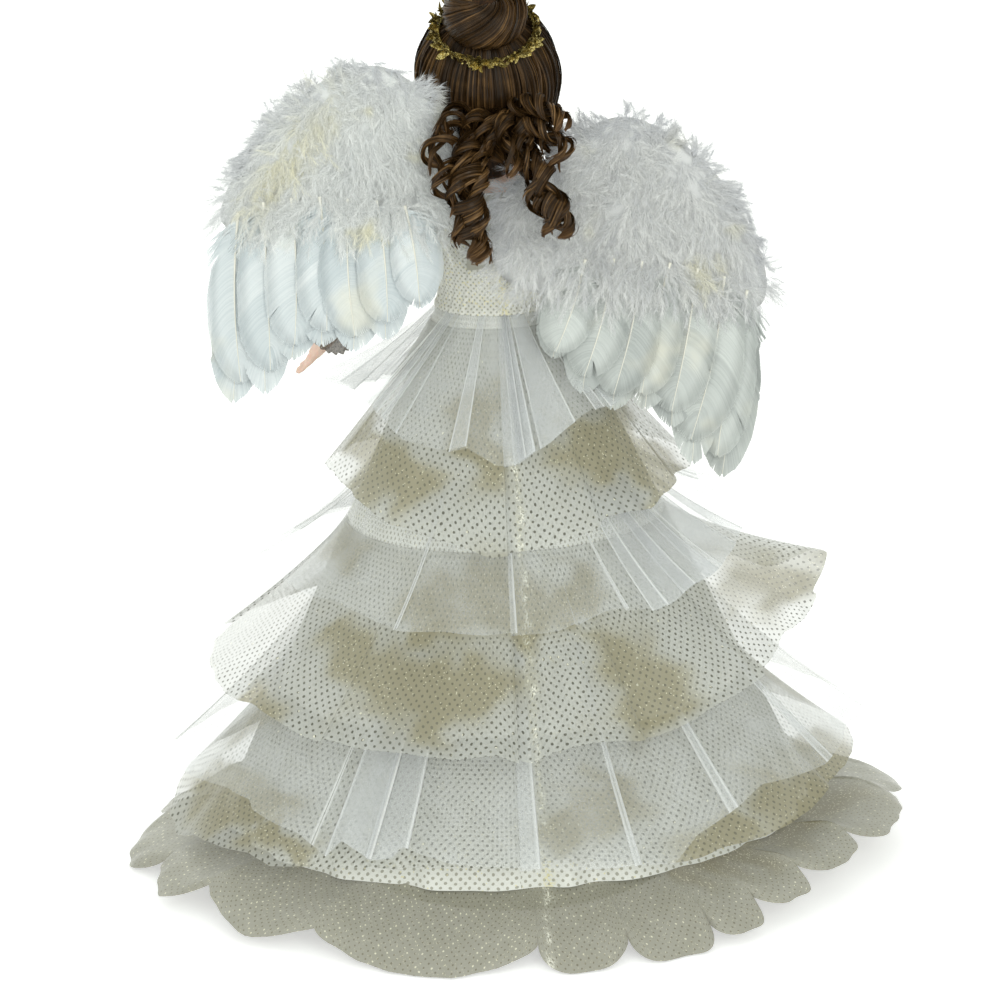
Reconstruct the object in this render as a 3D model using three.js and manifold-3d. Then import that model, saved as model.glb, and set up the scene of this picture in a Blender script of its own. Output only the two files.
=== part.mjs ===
// Treetop angel doll. A bisque shoulder-head and bisque forearms on a stuffed cloth body, a tiered
// ruffled dress over a stiff paper cone, feather wings that turn on two studs at the back, and a wig
// with a bun, ringlets and a leaf crown. Millimetres, +Z up. The doll faces -Y, so its left is +X.
// The origin is on the table, under the middle of the skirt.
import * as THREE from "three";
import { mergeVertices } from "three/addons/utils/BufferGeometryUtils.js";
import Module from "manifold-3d";

const wasm = await Module();
wasm.setup();
const weldDistance = 1e-4;

// Clearances and cloths shared by the pieces
const seatGap = 0.35; // between pieces that rest on each other
const turnGap = 0.4; // round the wire and the studs that pieces turn on
const cutOverrun = 2; // how far a cutting solid runs past what it cuts
const satinCloth = 1.3; // the skirt lining and the bodice
const ruffleCloth = 0.9; // one tier of the skirt

// Driving sizes of the skirt
const waistHeight = 262;
const waistHalfWidth = 25.5;
const waistHalfDepth = 19.5;
const liningHemHeight = 24;
const liningHemHalfWidth = 134;
const liningHemHalfDepth = 108;

// The paper cone that slips over the tree's top
const coneFootRadius = 78;
const coneTopRadius = 13;
const coneHeight = 214;
const coneWall = 1.6;
const coneSides = 32;

// Cloth body
const bustRise = 22; // above the waist
const bustHeight = waistHeight + bustRise;
const armWireRise = 14; // above the bust
const armWireHeight = bustHeight + armWireRise;
const plateRimRise = 3; // of the shoulder plate's rim, above the wire
const plateRimHeight = armWireHeight + plateRimRise;
const trunkTopRise = 11; // of the stuffing inside the plate, above its rim
const trunkTopHeight = plateRimHeight + trunkTopRise;
const neckRise = 23; // above the plate's rim
const neckHeight = plateRimHeight + neckRise;
const neckRadius = 9.5;
const plateWall = 2.6;
const bodiceOverPlate = 8; // how far the bodice covers the shoulder plate

// Head, of bisque, and the wig on it
const headRise = 37; // of its centre, above the foot of the neck
const headCentreHeight = neckHeight + headRise;
const headForward = 4;
const headHalfWidth = 22.5;
const headHalfDepth = 24.5;
const headHalfHeight = 28.5;
const headWall = 3;
const wigSideThickness = 7.5;
const wigBackThickness = 5;
const wigTopThickness = 3.5;
const wigSetBack = 1; // how far the wig sits behind the head's own centre

const v3 = (x, y, z) => new THREE.Vector3(x, y, z);
const mix = THREE.MathUtils.lerp;
const clamp = THREE.MathUtils.clamp;
const radians = THREE.MathUtils.degToRad;
const smoothstep = THREE.MathUtils.smoothstep;
const bump = (distance, spread) => Math.exp(-((distance / spread) ** 2));

const root = new THREE.Group();

const finishes = {
  bisque: { color: 0xf1cdb8, roughness: 0.45, metalness: 0 },
  cloth: { color: 0xe9dfd0, roughness: 0.9, metalness: 0 },
  paper: { color: 0xe6e1d6, roughness: 0.85, metalness: 0 },
  satin: { color: 0xe6e5da, roughness: 0.4, metalness: 0 },
  dottedNet: { color: 0xb9b59a, roughness: 0.6, metalness: 0.1 },
  tulle: { color: 0xdde3e6, roughness: 0.8, metalness: 0 },
  glitterNet: { color: 0xa8a48b, roughness: 0.5, metalness: 0.2 },
  hair: { color: 0x4a2f1f, roughness: 0.45, metalness: 0 },
  gilt: { color: 0xb59a3c, roughness: 0.35, metalness: 1 },
  feather: { color: 0xe4e8ea, roughness: 0.75, metalness: 0 },
  down: { color: 0xdadbd8, roughness: 0.95, metalness: 0 },
  wire: { color: 0xb8b8b6, roughness: 0.4, metalness: 1 },
};

function addPiece(parent, name, geometry, finish) {
  const mesh = new THREE.Mesh(geometry, new THREE.MeshStandardMaterial(finishes[finish]));
  mesh.name = name;
  parent.add(mesh);
  return mesh;
}

// Closed-solid helpers
function solidOf(geometry) {
  const plain = new THREE.BufferGeometry();
  plain.setAttribute("position", geometry.getAttribute("position"));
  plain.setIndex(geometry.index);
  const merged = mergeVertices(plain, weldDistance);
  return new wasm.Manifold(
    new wasm.Mesh({
      numProp: 3,
      vertProperties: new Float32Array(merged.attributes.position.array),
      triVerts: new Uint32Array(merged.index.array),
    }),
  );
}

function geometryOf(solid) {
  const mesh = solid.getMesh();
  const geometry = new THREE.BufferGeometry();
  geometry.setAttribute("position", new THREE.BufferAttribute(new Float32Array(mesh.vertProperties), 3));
  geometry.setIndex(new THREE.BufferAttribute(new Uint32Array(mesh.triVerts), 1));
  return geometry;
}

function joined(geometries) {
  return geometryOf(geometries.map(solidOf).reduce((whole, solid) => whole.add(solid)));
}

function cutBy(geometry, ...cutters) {
  const whole = solidOf(geometry);
  return geometryOf(cutters.map(solidOf).reduce((left, cutter) => left.subtract(cutter), whole));
}

function fromPoints(points, triangles) {
  const geometry = new THREE.BufferGeometry();
  const flat = points.flatMap((p) => [p.x, p.y, p.z]);
  geometry.setAttribute("position", new THREE.BufferAttribute(new Float32Array(flat), 3));
  geometry.setIndex(triangles);
  return geometry;
}

// A solid lofted through closed sections that all have as many points, with its ends closed flat.
// Sections go round anticlockwise as seen from the last one.
function loft(sections) {
  const sides = sections[0].length;
  const points = sections.flat();
  const triangles = [];
  for (let ring = 0; ring < sections.length - 1; ring++) {
    for (let side = 0; side < sides; side++) {
      const a = ring * sides + side;
      const b = ring * sides + ((side + 1) % sides);
      triangles.push(a, b, b + sides, a, b + sides, a + sides);
    }
  }
  const last = (sections.length - 1) * sides;
  for (let side = 1; side < sides - 1; side++) {
    triangles.push(0, side + 1, side);
    triangles.push(last, last + side, last + side + 1);
  }
  return fromPoints(points, triangles);
}

// A closed sheet of cloth round the Z axis: rows of points from the top edge down, given thickness
function clothRing(rows, thickness) {
  const columns = rows[0].length;
  const normalAt = (row, column) => {
    const above = rows[Math.max(row - 1, 0)][column];
    const below = rows[Math.min(row + 1, rows.length - 1)][column];
    const before = rows[row][(column + columns - 1) % columns];
    const after = rows[row][(column + 1) % columns];
    const down = below.clone().sub(above);
    const round = after.clone().sub(before);
    return down.cross(round).normalize();
  };
  const face = (side) => {
    const reach = (side * thickness) / 2;
    return rows.map((row, i) => row.map((p, j) => p.clone().addScaledVector(normalAt(i, j), reach)));
  };
  const outer = face(1);
  const inner = face(-1);
  const points = [...outer.flat(), ...inner.flat()];
  const inside = rows.length * columns;
  const triangles = [];
  for (let j = 0; j < columns; j++) {
    const k = (j + 1) % columns;
    for (let i = 0; i < rows.length - 1; i++) {
      const [a, b, c, d] = [i * columns + j, i * columns + k, (i + 1) * columns + k, (i + 1) * columns + j];
      triangles.push(a, d, c, a, c, b);
      triangles.push(inside + a, inside + c, inside + d, inside + a, inside + b, inside + c);
    }
    const foot = (rows.length - 1) * columns;
    triangles.push(j, k, inside + k, j, inside + k, inside + j);
    triangles.push(foot + j, inside + foot + k, foot + k, foot + j, inside + foot + j, inside + foot + k);
  }
  return fromPoints(points, triangles);
}

// A round solid along a path, with a radius for each point of it
function tubeAlong(path, radii, sides) {
  const sections = [];
  let across = v3(1, 0, 0);
  path.forEach((point, i) => {
    const ahead = path[Math.min(i + 1, path.length - 1)].clone();
    const along = ahead.sub(path[Math.max(i - 1, 0)]).normalize();
    across.addScaledVector(along, -across.dot(along));
    if (across.length() < 1e-3) across = v3(0, 1, 0).addScaledVector(along, -along.y);
    across.normalize();
    const up = along.clone().cross(across);
    const section = [];
    for (let side = 0; side < sides; side++) {
      const turn = (2 * Math.PI * side) / sides;
      const spoke = across.clone().multiplyScalar(Math.cos(turn)).addScaledVector(up, Math.sin(turn));
      section.push(point.clone().addScaledVector(spoke, radii[i]));
    }
    sections.push(section);
  });
  return loft(sections);
}

function ellipse(halfWidth, halfDepth, height, sides, lift = v3(0, 0, 0)) {
  return Array.from({ length: sides }, (_, side) => {
    const turn = (2 * Math.PI * side) / sides;
    return v3(halfWidth * Math.cos(turn), halfDepth * Math.sin(turn), height).add(lift);
  });
}

function ellipsoid(centre, halfWidth, halfDepth, halfHeight, around, down) {
  const geometry = new THREE.SphereGeometry(1, around, down);
  geometry.rotateX(Math.PI / 2);
  geometry.scale(halfWidth, halfDepth, halfHeight);
  return geometry.translate(centre.x, centre.y, centre.z);
}

// Skirt. A point of a tier stands out from the lining by so much at a height.
function liningHalf(height) {
  const share = (waistHeight - height) / (waistHeight - liningHemHeight);
  return {
    width: mix(waistHalfWidth, liningHemHalfWidth, share),
    depth: mix(waistHalfDepth, liningHemHalfDepth, share),
  };
}

function skirtPoint(turn, height, sideOut, backOut = sideOut) {
  const half = liningHalf(height);
  return v3((half.width + sideOut) * Math.cos(turn), (half.depth + backOut) * Math.sin(turn), height);
}

// Each tier: where it is sewn on and where its hem hangs, in shares of the waist's height. How far
// its hem stands off the lining at the sides and at the back, in shares of the fullest tier's. How
// much lower the hem hangs at the back and how much higher on the doll's right. How many folds it
// has, how deep they are, and how soon it leaves the lining.
const fullHemOut = 37;
const fullFoldDepth = 6.5;
const backDropHeight = 8;
const rightLiftHeight = 12;
const tierPhaseStep = 1.3;
const tiers = [
  {
    name: "peplum_tulle",
    finish: "tulle",
    folds: 10,
    bell: 1.15,
    shares: { top: 0.994, hem: 0.81, sideOut: 0.76, backOut: 0.54, backDrop: 0.1, rightLift: 0, fold: 0.55 },
  },
  {
    name: "ruffle_dotted_upper",
    finish: "dottedNet",
    folds: 9,
    bell: 1.4,
    shares: { top: 0.97, hem: 0.69, sideOut: 0.51, backOut: 0.59, backDrop: 1, rightLift: -0.1, fold: 0.46 },
  },
  {
    name: "ruffle_tulle_upper",
    finish: "tulle",
    folds: 12,
    bell: 1.8,
    shares: { top: 0.73, hem: 0.57, sideOut: 0.81, backOut: 0.78, backDrop: 0.9, rightLift: 0.9, fold: 0.69 },
  },
  {
    name: "ruffle_dotted_middle",
    finish: "dottedNet",
    folds: 11,
    bell: 1.4,
    shares: { top: 0.62, hem: 0.395, sideOut: 1, backOut: 0.865, backDrop: 1, rightLift: 0.8, fold: 1 },
  },
  {
    name: "ruffle_tulle_lower",
    finish: "tulle",
    folds: 12,
    bell: 1.3,
    shares: { top: 0.47, hem: 0.2, sideOut: 0.81, backOut: 0.6, backDrop: 0.8, rightLift: 0.35, fold: 0.85 },
  },
  {
    name: "ruffle_dotted_lower",
    finish: "dottedNet",
    folds: 12,
    bell: 1.2,
    shares: { top: 0.33, hem: 0.145, sideOut: 0.6, backOut: 0.31, backDrop: 0.5, rightLift: 0.2, fold: 0.54 },
  },
];
const tierColumns = 52;
const tierRowShares = [0, 0.5, 1];

// A fold line that wanders: crests are unevenly spaced and unevenly deep
function foldWave(turn, folds, phase) {
  const drift = 0.9 * Math.sin(2 * turn + phase) + 0.5 * Math.sin(3 * turn + 2 * phase);
  const swell = 1 - 0.3 * (0.5 + 0.5 * Math.cos(3 * turn + phase));
  return swell * Math.sin(folds * turn + drift + phase);
}

function tierRows({ folds, bell, shares }, phase) {
  return tierRowShares.map((share) =>
    Array.from({ length: tierColumns }, (_, column) => {
      const turn = (2 * Math.PI * column) / tierColumns;
      const lift = -shares.rightLift * rightLiftHeight * Math.cos(turn);
      const drop = shares.backDrop * backDropHeight * Math.max(0, Math.sin(turn));
      const spread = share ** bell;
      const fold = spread * shares.fold * fullFoldDepth * foldWave(turn, folds, phase);
      const seat = seatGap + ruffleCloth / 2 + fold;
      const height = mix(shares.top * waistHeight, shares.hem * waistHeight + lift - drop, share);
      const sideOut = seat + spread * shares.sideOut * fullHemOut;
      const backOut = seat + spread * shares.backOut * fullHemOut;
      return skirtPoint(turn, height, sideOut, backOut);
    }),
  );
}

function liningRing() {
  const rows = [waistHeight, liningHemHeight].map((height) =>
    Array.from({ length: tierColumns }, (_, column) =>
      skirtPoint((2 * Math.PI * column) / tierColumns, height, -satinCloth / 2),
    ),
  );
  return clothRing(rows, satinCloth);
}

// The net flounce is sewn inside the lining, and spreads over the table from under its hem
const flounceSewnHeight = 66;
const flounceFootHeight = 0.6;
const flounceSideOut = 37; // beyond the lining's line where it meets the table
const flounceBackOut = 31;
const flounceInset = 0.56; // from the inside of the lining to the outside of the net
const flounceCuspDepth = 9; // how far the net draws in where two scallops meet
const flounceLiftHeight = 24;
const flounceRowShares = [
  { down: 0, out: 0 },
  { down: 0.69, out: 0 },
  { down: 1, out: 1 },
];
// The hem hangs in scallops. Where each one starts, in turns round the skirt from the doll's left, how
// high the hem is lifted there and in the scallop's middle, and how far its middle reaches out
const scallopShares = [
  [0.033, 0.33, 0.2, 1.3], [0.089, 0.6, 0.15, 1], [0.158, 0.45, 0, 1], [0.256, 0.33, 0, 1],
  [0.294, 0.3, 0, 1], [0.331, 0.3, 0.2, 1], [0.356, 0.55, 0.45, 1], [0.386, 0.8, 0.65, 1],
  [0.431, 0.9, 0.6, 1.4], [0.508, 0.7, 0.25, 1.8], [0.569, 0.45, 0.05, 1], [0.628, 0.55, 0, 1.2],
  [0.683, 0.4, 0, 1], [0.744, 0.5, 0, 1.1], [0.803, 0.45, 0, 1], [0.858, 0.55, 0, 1.2],
  [0.911, 0.4, 0.05, 1], [0.972, 0.5, 0, 1.2],
];
const withinShares = [0, 0.14, 0.5, 0.86]; // places in a scallop that have a column of points

function flounceHem() {
  return scallopShares.flatMap(([start, cusp, hang, reach], i) => {
    const next = scallopShares[(i + 1) % scallopShares.length];
    const width = (next[0] - start + 1) % 1;
    return withinShares.map((within) => {
      const fullness = Math.sqrt(1 - (2 * within - 1) ** 2);
      const drawn = 1 - reach * fullness;
      const lift = mix(mix(cusp, next[1], within), hang, fullness);
      return { turn: 2 * Math.PI * (start + width * within), drawn, lift };
    });
  });
}

function flounceRows() {
  const inside = -satinCloth - flounceInset - ruffleCloth;
  const hem = flounceHem();
  return flounceRowShares.map(({ down, out }) =>
    hem.map(({ turn, drawn, lift }) => {
      const height = mix(flounceSewnHeight, flounceFootHeight, down) + out * lift * flounceLiftHeight;
      const fold = inside - out * flounceCuspDepth * drawn;
      return skirtPoint(turn, height, fold + out * flounceSideOut, fold + out * flounceBackOut);
    }),
  );
}

function addSkirt() {
  addPiece(root, "skirt_lining", liningRing(), "satin");
  tiers.forEach((tier, i) => {
    const rows = tierRows(tier, i * tierPhaseStep);
    addPiece(root, tier.name, clothRing(rows, ruffleCloth), tier.finish);
  });
  addPiece(root, "hem_flounce_net", clothRing(flounceRows(), ruffleCloth), "glitterNet");
}

function addCone() {
  const slope = (coneFootRadius - coneTopRadius) / coneHeight;
  const roofHeight = coneHeight - coneWall;
  const profile = [
    [0, roofHeight],
    [coneTopRadius + slope * coneWall - coneWall, roofHeight],
    [coneFootRadius - coneWall, 0],
    [coneFootRadius, 0],
    [coneTopRadius, coneHeight],
    [0, coneHeight],
  ].map(([radius, height]) => new THREE.Vector2(radius, height));
  const cone = new THREE.LatheGeometry(profile, coneSides);
  addPiece(root, "treetop_cone", cone.rotateX(Math.PI / 2), "paper");
}

// Trunk. Half sizes of the cloth body and of what it carries, by height.
const trunkSides = 20;
const waistClear = satinCloth + seatGap;
const bustHalfWidth = 26.5;
const bustHalfDepth = 18.5;
const shoulderHalfWidth = 29;
const shoulderHalfDepth = 18;
const plugInset = plateWall + seatGap;
const hollowSides = 16;

function trunkSections() {
  const foot = coneHeight + seatGap;
  const waistWidth = waistHalfWidth - waistClear;
  const waistDepth = waistHalfDepth - waistClear;
  return [
    [coneTopRadius, coneTopRadius, foot],
    [mix(coneTopRadius, waistWidth, 0.6), mix(coneTopRadius, waistDepth, 0.7), mix(foot, waistHeight, 0.4)],
    [waistWidth, waistDepth, waistHeight],
    [bustHalfWidth, bustHalfDepth, bustHeight],
    [shoulderHalfWidth, shoulderHalfDepth, plateRimHeight - seatGap],
    [shoulderHalfWidth - 1.2 * plugInset, shoulderHalfDepth - 1.2 * plugInset, plateRimHeight - seatGap / 2],
    [shoulderHalfWidth - 3.3 * plugInset, shoulderHalfDepth - 2.2 * plugInset, trunkTopHeight],
  ];
}

function ovals(rows, sides) {
  return rows.map(([halfWidth, halfDepth, height]) => ellipse(halfWidth, halfDepth, height, sides));
}

const armWireRadius = 0.9;
const armWireHalfLength = 43.5;

function crossBar(radius, halfLength) {
  const bar = new THREE.CylinderGeometry(radius, radius, 2 * halfLength, 8);
  return bar.rotateZ(Math.PI / 2).translate(0, 0, armWireHeight);
}

function addTrunk() {
  const trunk = loft(ovals(trunkSections(), trunkSides));
  const wireHole = crossBar(armWireRadius + seatGap, shoulderHalfWidth + 2 * cutOverrun);
  addPiece(root, "cloth_trunk", cutBy(trunk, wireHole), "cloth");
  addPiece(root, "arm_wire", crossBar(armWireRadius, armWireHalfLength), "wire");

  const clear = seatGap + satinCloth / 2;
  const shoulderRow = [shoulderHalfWidth + clear, shoulderHalfDepth + clear];
  const rows = [
    [...shoulderRow, plateRimHeight + bodiceOverPlate],
    [...shoulderRow, plateRimHeight],
    [bustHalfWidth + clear, bustHalfDepth + clear, bustHeight],
    [waistHalfWidth - waistClear + clear, waistHalfDepth - waistClear + clear, waistHeight + seatGap],
  ];
  addPiece(root, "bodice", cutBy(clothRing(ovals(rows, trunkSides), satinCloth), wireHole), "satin");
}

// Bisque shoulder plate, neck and head, cast in one
const headCentre = v3(0, -headForward, headCentreHeight);
const headAround = 24;
const headDown = 18;
const noseLength = 3.4;
const chinLength = 2;
const socketDepth = 2;
const lipFullness = 0.9;
const browDepth = 0.8;

// How far the face stands out at a place, given as shares of the head's half width and half height
function faceRelief(across, up) {
  const side = Math.abs(across);
  const bridge = 0.5 * noseLength * bump(across, 0.09) * bump(up + 0.02, 0.16);
  const nose = noseLength * bump(across, 0.13) * bump(up + 0.2, 0.17) + bridge;
  const chin = chinLength * bump(across, 0.25) * bump(up + 0.78, 0.16);
  const sockets = -socketDepth * bump(side - 0.36, 0.2) * bump(up - 0.02, 0.14);
  const brows = browDepth * bump(side - 0.36, 0.28) * bump(up - 0.26, 0.1);
  const lips = lipFullness * bump(across, 0.2) * (bump(up + 0.44, 0.05) + bump(up + 0.55, 0.06));
  return nose + chin + sockets + brows + lips;
}

function headShell() {
  const geometry = new THREE.SphereGeometry(1, headAround, headDown);
  geometry.rotateX(Math.PI / 2);
  const places = geometry.getAttribute("position");
  for (let i = 0; i < places.count; i++) {
    const unit = v3().fromBufferAttribute(places, i);
    const jaw = 1 - 0.2 * clamp(-unit.z, 0, 1) ** 2;
    const forward = unit.y < 0 ? faceRelief(unit.x, unit.z) * clamp(-unit.y * 3, 0, 1) : 0;
    const depth = unit.y * headHalfDepth * jaw - forward;
    places.setXYZ(i, unit.x * headHalfWidth * jaw, depth, unit.z * headHalfHeight);
  }
  return geometry.translate(headCentre.x, headCentre.y, headCentre.z);
}

function addHead() {
  const hollowHalfWidth = shoulderHalfWidth - plateWall;
  const hollowHalfDepth = shoulderHalfDepth - plateWall;
  const throatRadius = neckRadius - headWall;
  const bodiceTop = plateRimHeight + bodiceOverPlate;
  const neckTop = headCentreHeight - headHalfHeight * 0.7;
  const plateAndNeck = [
    [shoulderHalfWidth, shoulderHalfDepth, plateRimHeight],
    [shoulderHalfWidth, shoulderHalfDepth, plateRimHeight + bodiceOverPlate / 2],
    [shoulderHalfWidth * 0.93, shoulderHalfDepth * 0.93, bodiceTop],
    [shoulderHalfWidth * 0.72, shoulderHalfDepth * 0.8, mix(bodiceTop, neckHeight, 0.5)],
    [neckRadius * 1.3, neckRadius * 1.15, neckHeight - neckRadius * 0.25],
    [neckRadius, neckRadius, neckHeight],
    [neckRadius, neckRadius, neckTop],
  ];
  const hollowUnder = [
    [hollowHalfWidth, hollowHalfDepth, plateRimHeight - cutOverrun],
    [hollowHalfWidth, hollowHalfDepth, plateRimHeight + bodiceOverPlate / 2],
    [hollowHalfWidth * 0.82, hollowHalfDepth * 0.91, trunkTopHeight + seatGap],
    [throatRadius, throatRadius, neckHeight],
    [throatRadius, throatRadius, neckTop],
  ];
  const hollowHead = ellipsoid(
    headCentre, headHalfWidth - headWall, headHalfDepth - headWall, headHalfHeight - 2 * headWall, 14, 10,
  );
  const cast = joined([headShell(), loft(ovals(plateAndNeck, trunkSides))]);
  const bisque = cutBy(cast, loft(ovals(hollowUnder, hollowSides)), hollowHead);
  addPiece(root, "bisque_shoulder_head", bisque, "bisque");
}

// Wig
const wigCentre = v3(0, wigSetBack - headForward, headCentreHeight);
const wigHalfWidth = headHalfWidth + wigSideThickness;
const wigHalfDepth = headHalfDepth + wigBackThickness - wigSetBack;
const wigHalfHeight = headHalfHeight + wigTopThickness;
const napeHalfWidth = 13.5;
const napeHalfDepth = 9.5;
const napeHalfHeight = 17;
const napeCentre = v3(0, headHalfDepth - 2 * wigTopThickness, headCentreHeight - 0.84 * headHalfHeight);
const headRoomGap = 1.4; // between the head and the inside of the wig
const faceWindowHalfWidth = 19.5;
const faceWindowHalfHeight = 25;
const bunTilt = radians(28);
const bunRadius = 17.4;
const bunHalfHeight = 10.5;
const crownRadius = 20.8;
const crownWireRadius = 0.9;
const crownLeaves = 16;
const leafLength = 6.8;
const leafHalfWidth = 1.9;
const leafHalfThickness = 0.45;
const leafLean = radians(38);
const leafSpread = radians(32);
const tiltAxis = v3(0, Math.sin(bunTilt), Math.cos(bunTilt));
const tiltSide = v3(0, Math.cos(bunTilt), -Math.sin(bunTilt));

function wigOuter(gap) {
  return ellipsoid(wigCentre, wigHalfWidth + gap, wigHalfDepth + gap, wigHalfHeight + gap, 22, 12);
}

function napeOuter(gap) {
  return ellipsoid(napeCentre, napeHalfWidth + gap, napeHalfDepth + gap, napeHalfHeight + gap, 12, 8);
}

function addWigCap() {
  const window = ellipsoid(
    v3(0, wigCentre.y - wigHalfDepth, headCentreHeight - 0.2 * headHalfHeight),
    faceWindowHalfWidth, wigHalfDepth, faceWindowHalfHeight, 18, 10,
  );
  const headRoom = ellipsoid(
    headCentre, headHalfWidth + headRoomGap, headHalfDepth + headRoomGap, headHalfHeight + headRoomGap, 14, 9,
  );
  const roomRadius = neckRadius + seatGap;
  const neckRoom = new THREE.CylinderGeometry(roomRadius, roomRadius, headHalfHeight * 2, hollowSides);
  neckRoom.rotateX(Math.PI / 2).translate(0, 0, neckHeight);
  addPiece(root, "wig_cap", cutBy(joined([wigOuter(0), napeOuter(0)]), headRoom, neckRoom, window), "hair");
}

// The height along the tilted axis at which a ring of this radius clears the wig
function ringHeightOver(radius, clear) {
  const onWig = (height) => {
    let least = Infinity;
    for (let step = 0; step < 24; step++) {
      const turn = (Math.PI * step) / 12;
      const place = tiltAxis.clone().multiplyScalar(height);
      place.addScaledVector(tiltSide, radius * Math.sin(turn));
      place.x += radius * Math.cos(turn);
      const room = v3(wigHalfWidth + clear, wigHalfDepth + clear, wigHalfHeight + clear);
      least = Math.min(least, place.divide(room).length());
    }
    return least;
  };
  let height = 0;
  while (onWig(height) < 1) height += seatGap / 4;
  return height;
}

function onTiltedAxis(geometry, height) {
  const place = wigCentre.clone().addScaledVector(tiltAxis, height);
  return geometry.rotateX(-bunTilt).translate(place.x, place.y, place.z);
}

// A leaf of the crown. It grows from inside the wire, so that wire and leaves are one casting.
function leafAt(turn, outward) {
  const leaf = new THREE.OctahedronGeometry(1, 0);
  leaf.scale(leafHalfWidth, leafHalfThickness, leafLength / 2);
  leaf.translate(0, 0, leafLength / 2);
  leaf.rotateY(leafLean);
  leaf.rotateX(-outward);
  leaf.rotateZ(turn + Math.PI / 2);
  return leaf.translate(crownRadius * Math.cos(turn), crownRadius * Math.sin(turn), 0);
}

function addBunAndCrown() {
  const wigTop = 1 / Math.hypot(tiltAxis.y / wigHalfDepth, tiltAxis.z / wigHalfHeight);
  const bun = ellipsoid(v3(0, 0, 0), bunRadius, bunRadius, bunHalfHeight, 18, 10);
  addPiece(root, "hair_bun", cutBy(onTiltedAxis(bun, wigTop + bunHalfHeight / 2), wigOuter(seatGap)), "hair");

  const crown = [new THREE.TorusGeometry(crownRadius, crownWireRadius, 4, 24)];
  for (let i = 0; i < crownLeaves; i++) {
    const turn = (2 * Math.PI * i) / crownLeaves;
    crown.push(leafAt(turn, i % 2 ? leafSpread : leafSpread / 4));
  }
  const ringHeight = ringHeightOver(crownRadius, crownWireRadius + seatGap);
  addPiece(root, "leaf_crown", onTiltedAxis(joined(crown), ringHeight), "gilt");
}

// Ringlets. Each hangs along a path of its own and winds round it.
const ringletStrandRadius = 3.4;
const ringletCoilRadius = 4.8;
const ringletStepsPerTurn = 8;
const ringletSides = 5;

function ringlet(places, turns, fullnessShare) {
  const path = new THREE.CatmullRomCurve3(places);
  const steps = Math.round(turns * ringletStepsPerTurn);
  const line = [];
  const radii = [];
  for (let i = 0; i <= steps; i++) {
    const share = i / steps;
    const centre = path.getPointAt(share);
    const along = path.getTangentAt(share);
    const across = v3(1, 0, 0).addScaledVector(along, -along.x).normalize();
    const up = along.clone().cross(across);
    const swing = 2 * Math.PI * turns * share;
    const coil = fullnessShare * ringletCoilRadius * clamp(share * 4, 0, 1) * (1 - 0.25 * share);
    centre.addScaledVector(across, coil * Math.cos(swing)).addScaledVector(up, coil * Math.sin(swing));
    line.push(centre);
    radii.push(fullnessShare * ringletStrandRadius * (1 - 0.35 * share ** 2));
  }
  return tubeAlong(line, radii, ringletSides);
}

// Paths of the ringlets, from the wig down, in shares of the nape's own half sizes from its centre
const backRinglets = {
  ringlet_back_left: {
    turns: 4,
    fullnessShare: 1,
    pathShares: [
      [0.3, 0.7, 0.1], [0.62, 2.1, 0], [0.75, 3.25, -0.7], [0.75, 3.35, -1.7], [0.58, 3.25, -2.55],
    ],
  },
  ringlet_back_right: {
    turns: 3,
    fullnessShare: 0.9,
    pathShares: [
      [-0.4, 0.7, 0.15], [-1, 2.2, 0], [-1.65, 3.5, -0.5], [-1.95, 3.7, -1.2], [-1.95, 3.65, -1.95],
    ],
  },
  ringlet_back_middle: {
    turns: 1.75,
    fullnessShare: 0.7,
    pathShares: [[-0.1, 0.6, 0.6], [-0.35, 2.1, 0.8], [-0.6, 3.3, 0.4], [-0.65, 3.45, -0.35]],
  },
  ringlet_upper_right: {
    turns: 1.75,
    fullnessShare: 0.75,
    pathShares: [[-0.65, 0.4, 0.85], [-1.25, 1.9, 1.15], [-1.95, 2.95, 1.05], [-2.2, 3.25, 0.55]],
  },
  ringlet_upper_left: {
    turns: 1.5,
    fullnessShare: 0.6,
    pathShares: [[0.55, 0.4, 0.75], [1, 1.9, 1.05], [1.4, 3, 0.95], [1.5, 3.2, 0.5]],
  },
};
// The path of the ringlet at a temple, in shares of the head's half sizes from its centre
const templeRinglet = {
  turns: 3,
  fullnessShare: 0.55,
  pathShares: [[1.06, -0.3, -0.3], [1.3, -0.34, -0.62], [1.29, -0.36, -1.05], [1.2, -0.36, -1.55]],
};

function ringletFrom({ turns, fullnessShare, pathShares }, centre, halfSizes) {
  const places = pathShares.map((shares) => v3(...shares).multiply(halfSizes).add(centre));
  return cutBy(ringlet(places, turns, fullnessShare), wigOuter(seatGap), napeOuter(seatGap));
}

function addRinglets() {
  const napeHalf = v3(napeHalfWidth, napeHalfDepth, napeHalfHeight);
  for (const [name, shape] of Object.entries(backRinglets)) {
    addPiece(root, name, ringletFrom(shape, napeCentre, napeHalf), "hair");
  }
  const headHalf = v3(headHalfWidth, headHalfDepth, headHalfHeight);
  const temple = ringletFrom(templeRinglet, headCentre, headHalf);
  addPiece(root, "ringlet_temple_left", temple, "hair");
  addPiece(root, "ringlet_temple_right", mirrorAcross(temple), "hair");
}

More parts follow.
